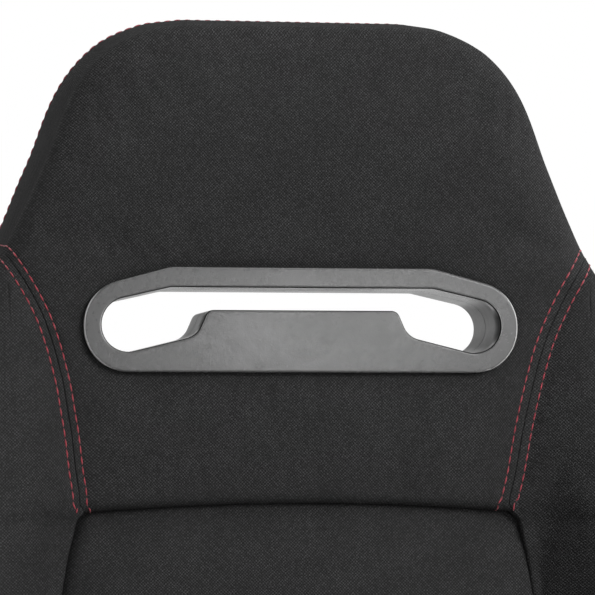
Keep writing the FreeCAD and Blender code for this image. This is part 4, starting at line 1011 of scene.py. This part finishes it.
# ---- front apron -----------------------------------------
def wrapped_board(node, name, body, material, bevel=2.0):
    """A cloth-wrapped board the size of a CAD node, with soft edges."""
    low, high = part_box(node)
    data = bpy.data.meshes.new(name)
    x = np.linspace(low.x, high.x, 90)
    z = np.linspace(low.z, high.z, 24)
    wave = 0.0006
    points, cloth = [], []
    for y, sign in ((low.y, -1), (high.y - 0.003, 1)):
        for zz in z:
            for xx in x:
                sag = wave * math.sin(xx * 60) * math.sin((zz - low.z) / (high.z - low.z) * math.pi)
                points.append((xx, y + (sag if sign < 0 else 0), zz))
                cloth.append((xx / MM, zz / MM, 0))
    nx, nz = len(x), len(z)
    faces = []
    for j in range(nz - 1):
        for i in range(nx - 1):
            a = j * nx + i
            faces.append((a, a + 1, a + nx + 1, a + nx))
            b = nx * nz + a
            faces.append((b, b + nx, b + nx + 1, b + 1))
    loop = (list(range(nx)) + [j * nx + nx - 1 for j in range(1, nz)]
            + [(nz - 1) * nx + i for i in range(nx - 2, -1, -1)] + [j * nx for j in range(nz - 2, 0, -1)])
    for a, b in zip(loop, loop[1:] + loop[:1]):
        faces.append((b, a, a + nx * nz, b + nx * nz))
    data.from_pydata(points, [], faces)
    mark_cloth(data, cloth)
    data.materials.append(material)
    data.shade_smooth()
    obj = placed(name, data)
    soft = obj.modifiers.new("Soft edges", "BEVEL")
    soft.width = bevel * MM
    soft.segments = 3
    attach(obj, body)
    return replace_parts(obj, node)


wrapped_board("front_apron", "front_apron_cover", "seat_base", CLOTH)

# ---- CAD nodes' shading ----------------------------------
for node in frame["nodes"].values():
    if not node.hide_render:
        node.data.shade_smooth()
        node.data.set_sharp_from_angle(angle=math.radians(32))


# ---- stage -----------------------------------------------
def pale_floor():
    """A matt pale floor that fades to white in the distance."""
    m = Nodes("pale_floor")
    place = m.node("TexCoord", 3)
    far = m.node("VectorMath", 1, props={"operation": "LENGTH"}, i0=place)
    glow = m.tree.nodes.new("ShaderNodeEmission")
    glow.inputs["Color"].default_value = grey(1.0)
    blend = m.tree.nodes.new("ShaderNodeMixShader")
    seen = m.tree.nodes.new("ShaderNodeLightPath").outputs["Is Camera Ray"]
    split = m.tree.nodes.new("ShaderNodeSeparateXYZ")
    m.link(place, split.inputs[0])
    behind = m.ramp(split.outputs[1], 0.7, 1.6, 0.0, 0.9)
    m.link(m.times(m.ramp(far, 1.1, 2.6), m.math("MAXIMUM", seen, behind)), blend.inputs[0])
    m.link(m.shader.outputs[0], blend.inputs[1])
    m.link(glow.outputs[0], blend.inputs[2])
    m.link(blend.outputs[0], m.out.inputs["Surface"])
    return m.finish(Base_Color=grey(0.82), Roughness=0.9, Specular_IOR_Level=0.1,
                    Normal=m.bump(m.noise(place, 40.0), 0.0003, 0.3))


floor_data = bpy.data.meshes.new("floor")
size, level = 40.0, -0.0008
corners = [(-size, -size, level), (size, -size, level), (size, size, level), (-size, size, level)]
floor_data.from_pydata(corners, [], [(0, 1, 2, 3)])
floor_data.materials.append(pale_floor())
placed("floor", floor_data)

world = bpy.data.worlds.new("studio")
bpy.context.scene.world = world
world.use_nodes = True
tree = world.node_tree
tree.nodes.clear()
lighting, backdrop = (tree.nodes.new("ShaderNodeBackground") for _ in range(2))
for made in (lighting, backdrop):
    made.inputs["Color"].default_value = grey(1.0)
facing = tree.nodes.new("ShaderNodeTexCoord").outputs["Generated"]
split = tree.nodes.new("ShaderNodeSeparateXYZ")
tree.links.new(facing, split.inputs[0])


def brighter_towards(axis, *span):
    """A MapRange node over one axis of the world's direction."""
    made = tree.nodes.new("ShaderNodeMapRange")
    tree.links.new(split.outputs[axis], made.inputs["Value"])
    for key, value in zip(("From Min", "From Max", "To Min", "To Max"), span):
        made.inputs[key].default_value = value
    return made


strength = tree.nodes.new("ShaderNodeMath")
strength.operation = "MULTIPLY"
tree.links.new(brighter_towards(1, -0.2, 0.6, 0.16, 0.8).outputs[0], strength.inputs[0])
tree.links.new(brighter_towards(0, -0.8, 0.3, 0.35, 1.0).outputs[0], strength.inputs[1])
tree.links.new(strength.outputs[0], lighting.inputs["Strength"])
backdrop.inputs["Strength"].default_value = 1.0
mix = tree.nodes.new("ShaderNodeMixShader")
path = tree.nodes.new("ShaderNodeLightPath")
tree.links.new(path.outputs["Is Camera Ray"], mix.inputs[0])
tree.links.new(lighting.outputs[0], mix.inputs[1])
tree.links.new(backdrop.outputs[0], mix.inputs[2])
tree.links.new(mix.outputs[0], tree.nodes.new("ShaderNodeOutputWorld").inputs[0])

AIM_HEIGHT, AIM_DEPTH = 606.0, 52.0     # the lights' and the camera's target, in the head section
target = Vector(on_back(zero, np.full(1, AIM_HEIGHT), np.full(1, AIM_DEPTH))[0])


def direction(azimuth, elevation):
    """The way from the target to a light or a camera; azimuth 0 is straight in front."""
    return Vector((math.sin(azimuth) * math.cos(elevation), -math.cos(azimuth) * math.cos(elevation),
                   math.sin(elevation)))


def softbox(name, azimuth, elevation, distance, width, height, power):
    """An area light aimed at the head section."""
    data = bpy.data.lights.new(name, "AREA")
    data.shape = "RECTANGLE"
    data.size, data.size_y = width, height
    data.energy = power
    light = placed(name, data)
    back = direction(math.radians(azimuth), math.radians(elevation))
    light.location = target + back * distance
    light.rotation_mode = "QUATERNION"
    light.rotation_quaternion = back.to_track_quat("Z", "Y")


softbox("key", 38, 34, 2.6, 1.3, 1.2, 55)
softbox("front", 9.0, 14.4, 2.6, 0.6, 0.36, 8.5)
softbox("strip_left", -100, 12, 2.4, 0.12, 1.6, 13)
softbox("strip_right", 98, 14, 2.4, 0.2, 1.6, 22)
softbox("top", 5, 80, 2.2, 1.4, 1.4, 20)

# ---- camera ----------------------------------------------
VIEW_AZIMUTH, VIEW_ELEVATION, VIEW_ROLL = math.radians(-8.15), math.radians(11.93), math.radians(2.07)
DISTANCE = 2.0
WIDTH_SEEN = 0.4139
SENSOR = 36.0
camera_data = bpy.data.cameras.new("camera")
camera = placed("camera", camera_data)
back = direction(VIEW_AZIMUTH, VIEW_ELEVATION)
camera.location = target + back * DISTANCE
camera.rotation_mode = "QUATERNION"
upright = back.to_track_quat("Z", "Y").to_matrix()
camera.rotation_quaternion = (Matrix.Rotation(VIEW_ROLL, 3, back) @ upright).to_quaternion()
camera_data.sensor_width = SENSOR
camera_data.shift_x, camera_data.shift_y = -0.0079, 0.0012
camera_data.lens = SENSOR * DISTANCE / WIDTH_SEEN
camera_data.clip_start, camera_data.clip_end = 0.05, 100.0
bpy.context.scene.camera = camera
bpy.context.scene.view_settings.view_transform = "Standard"
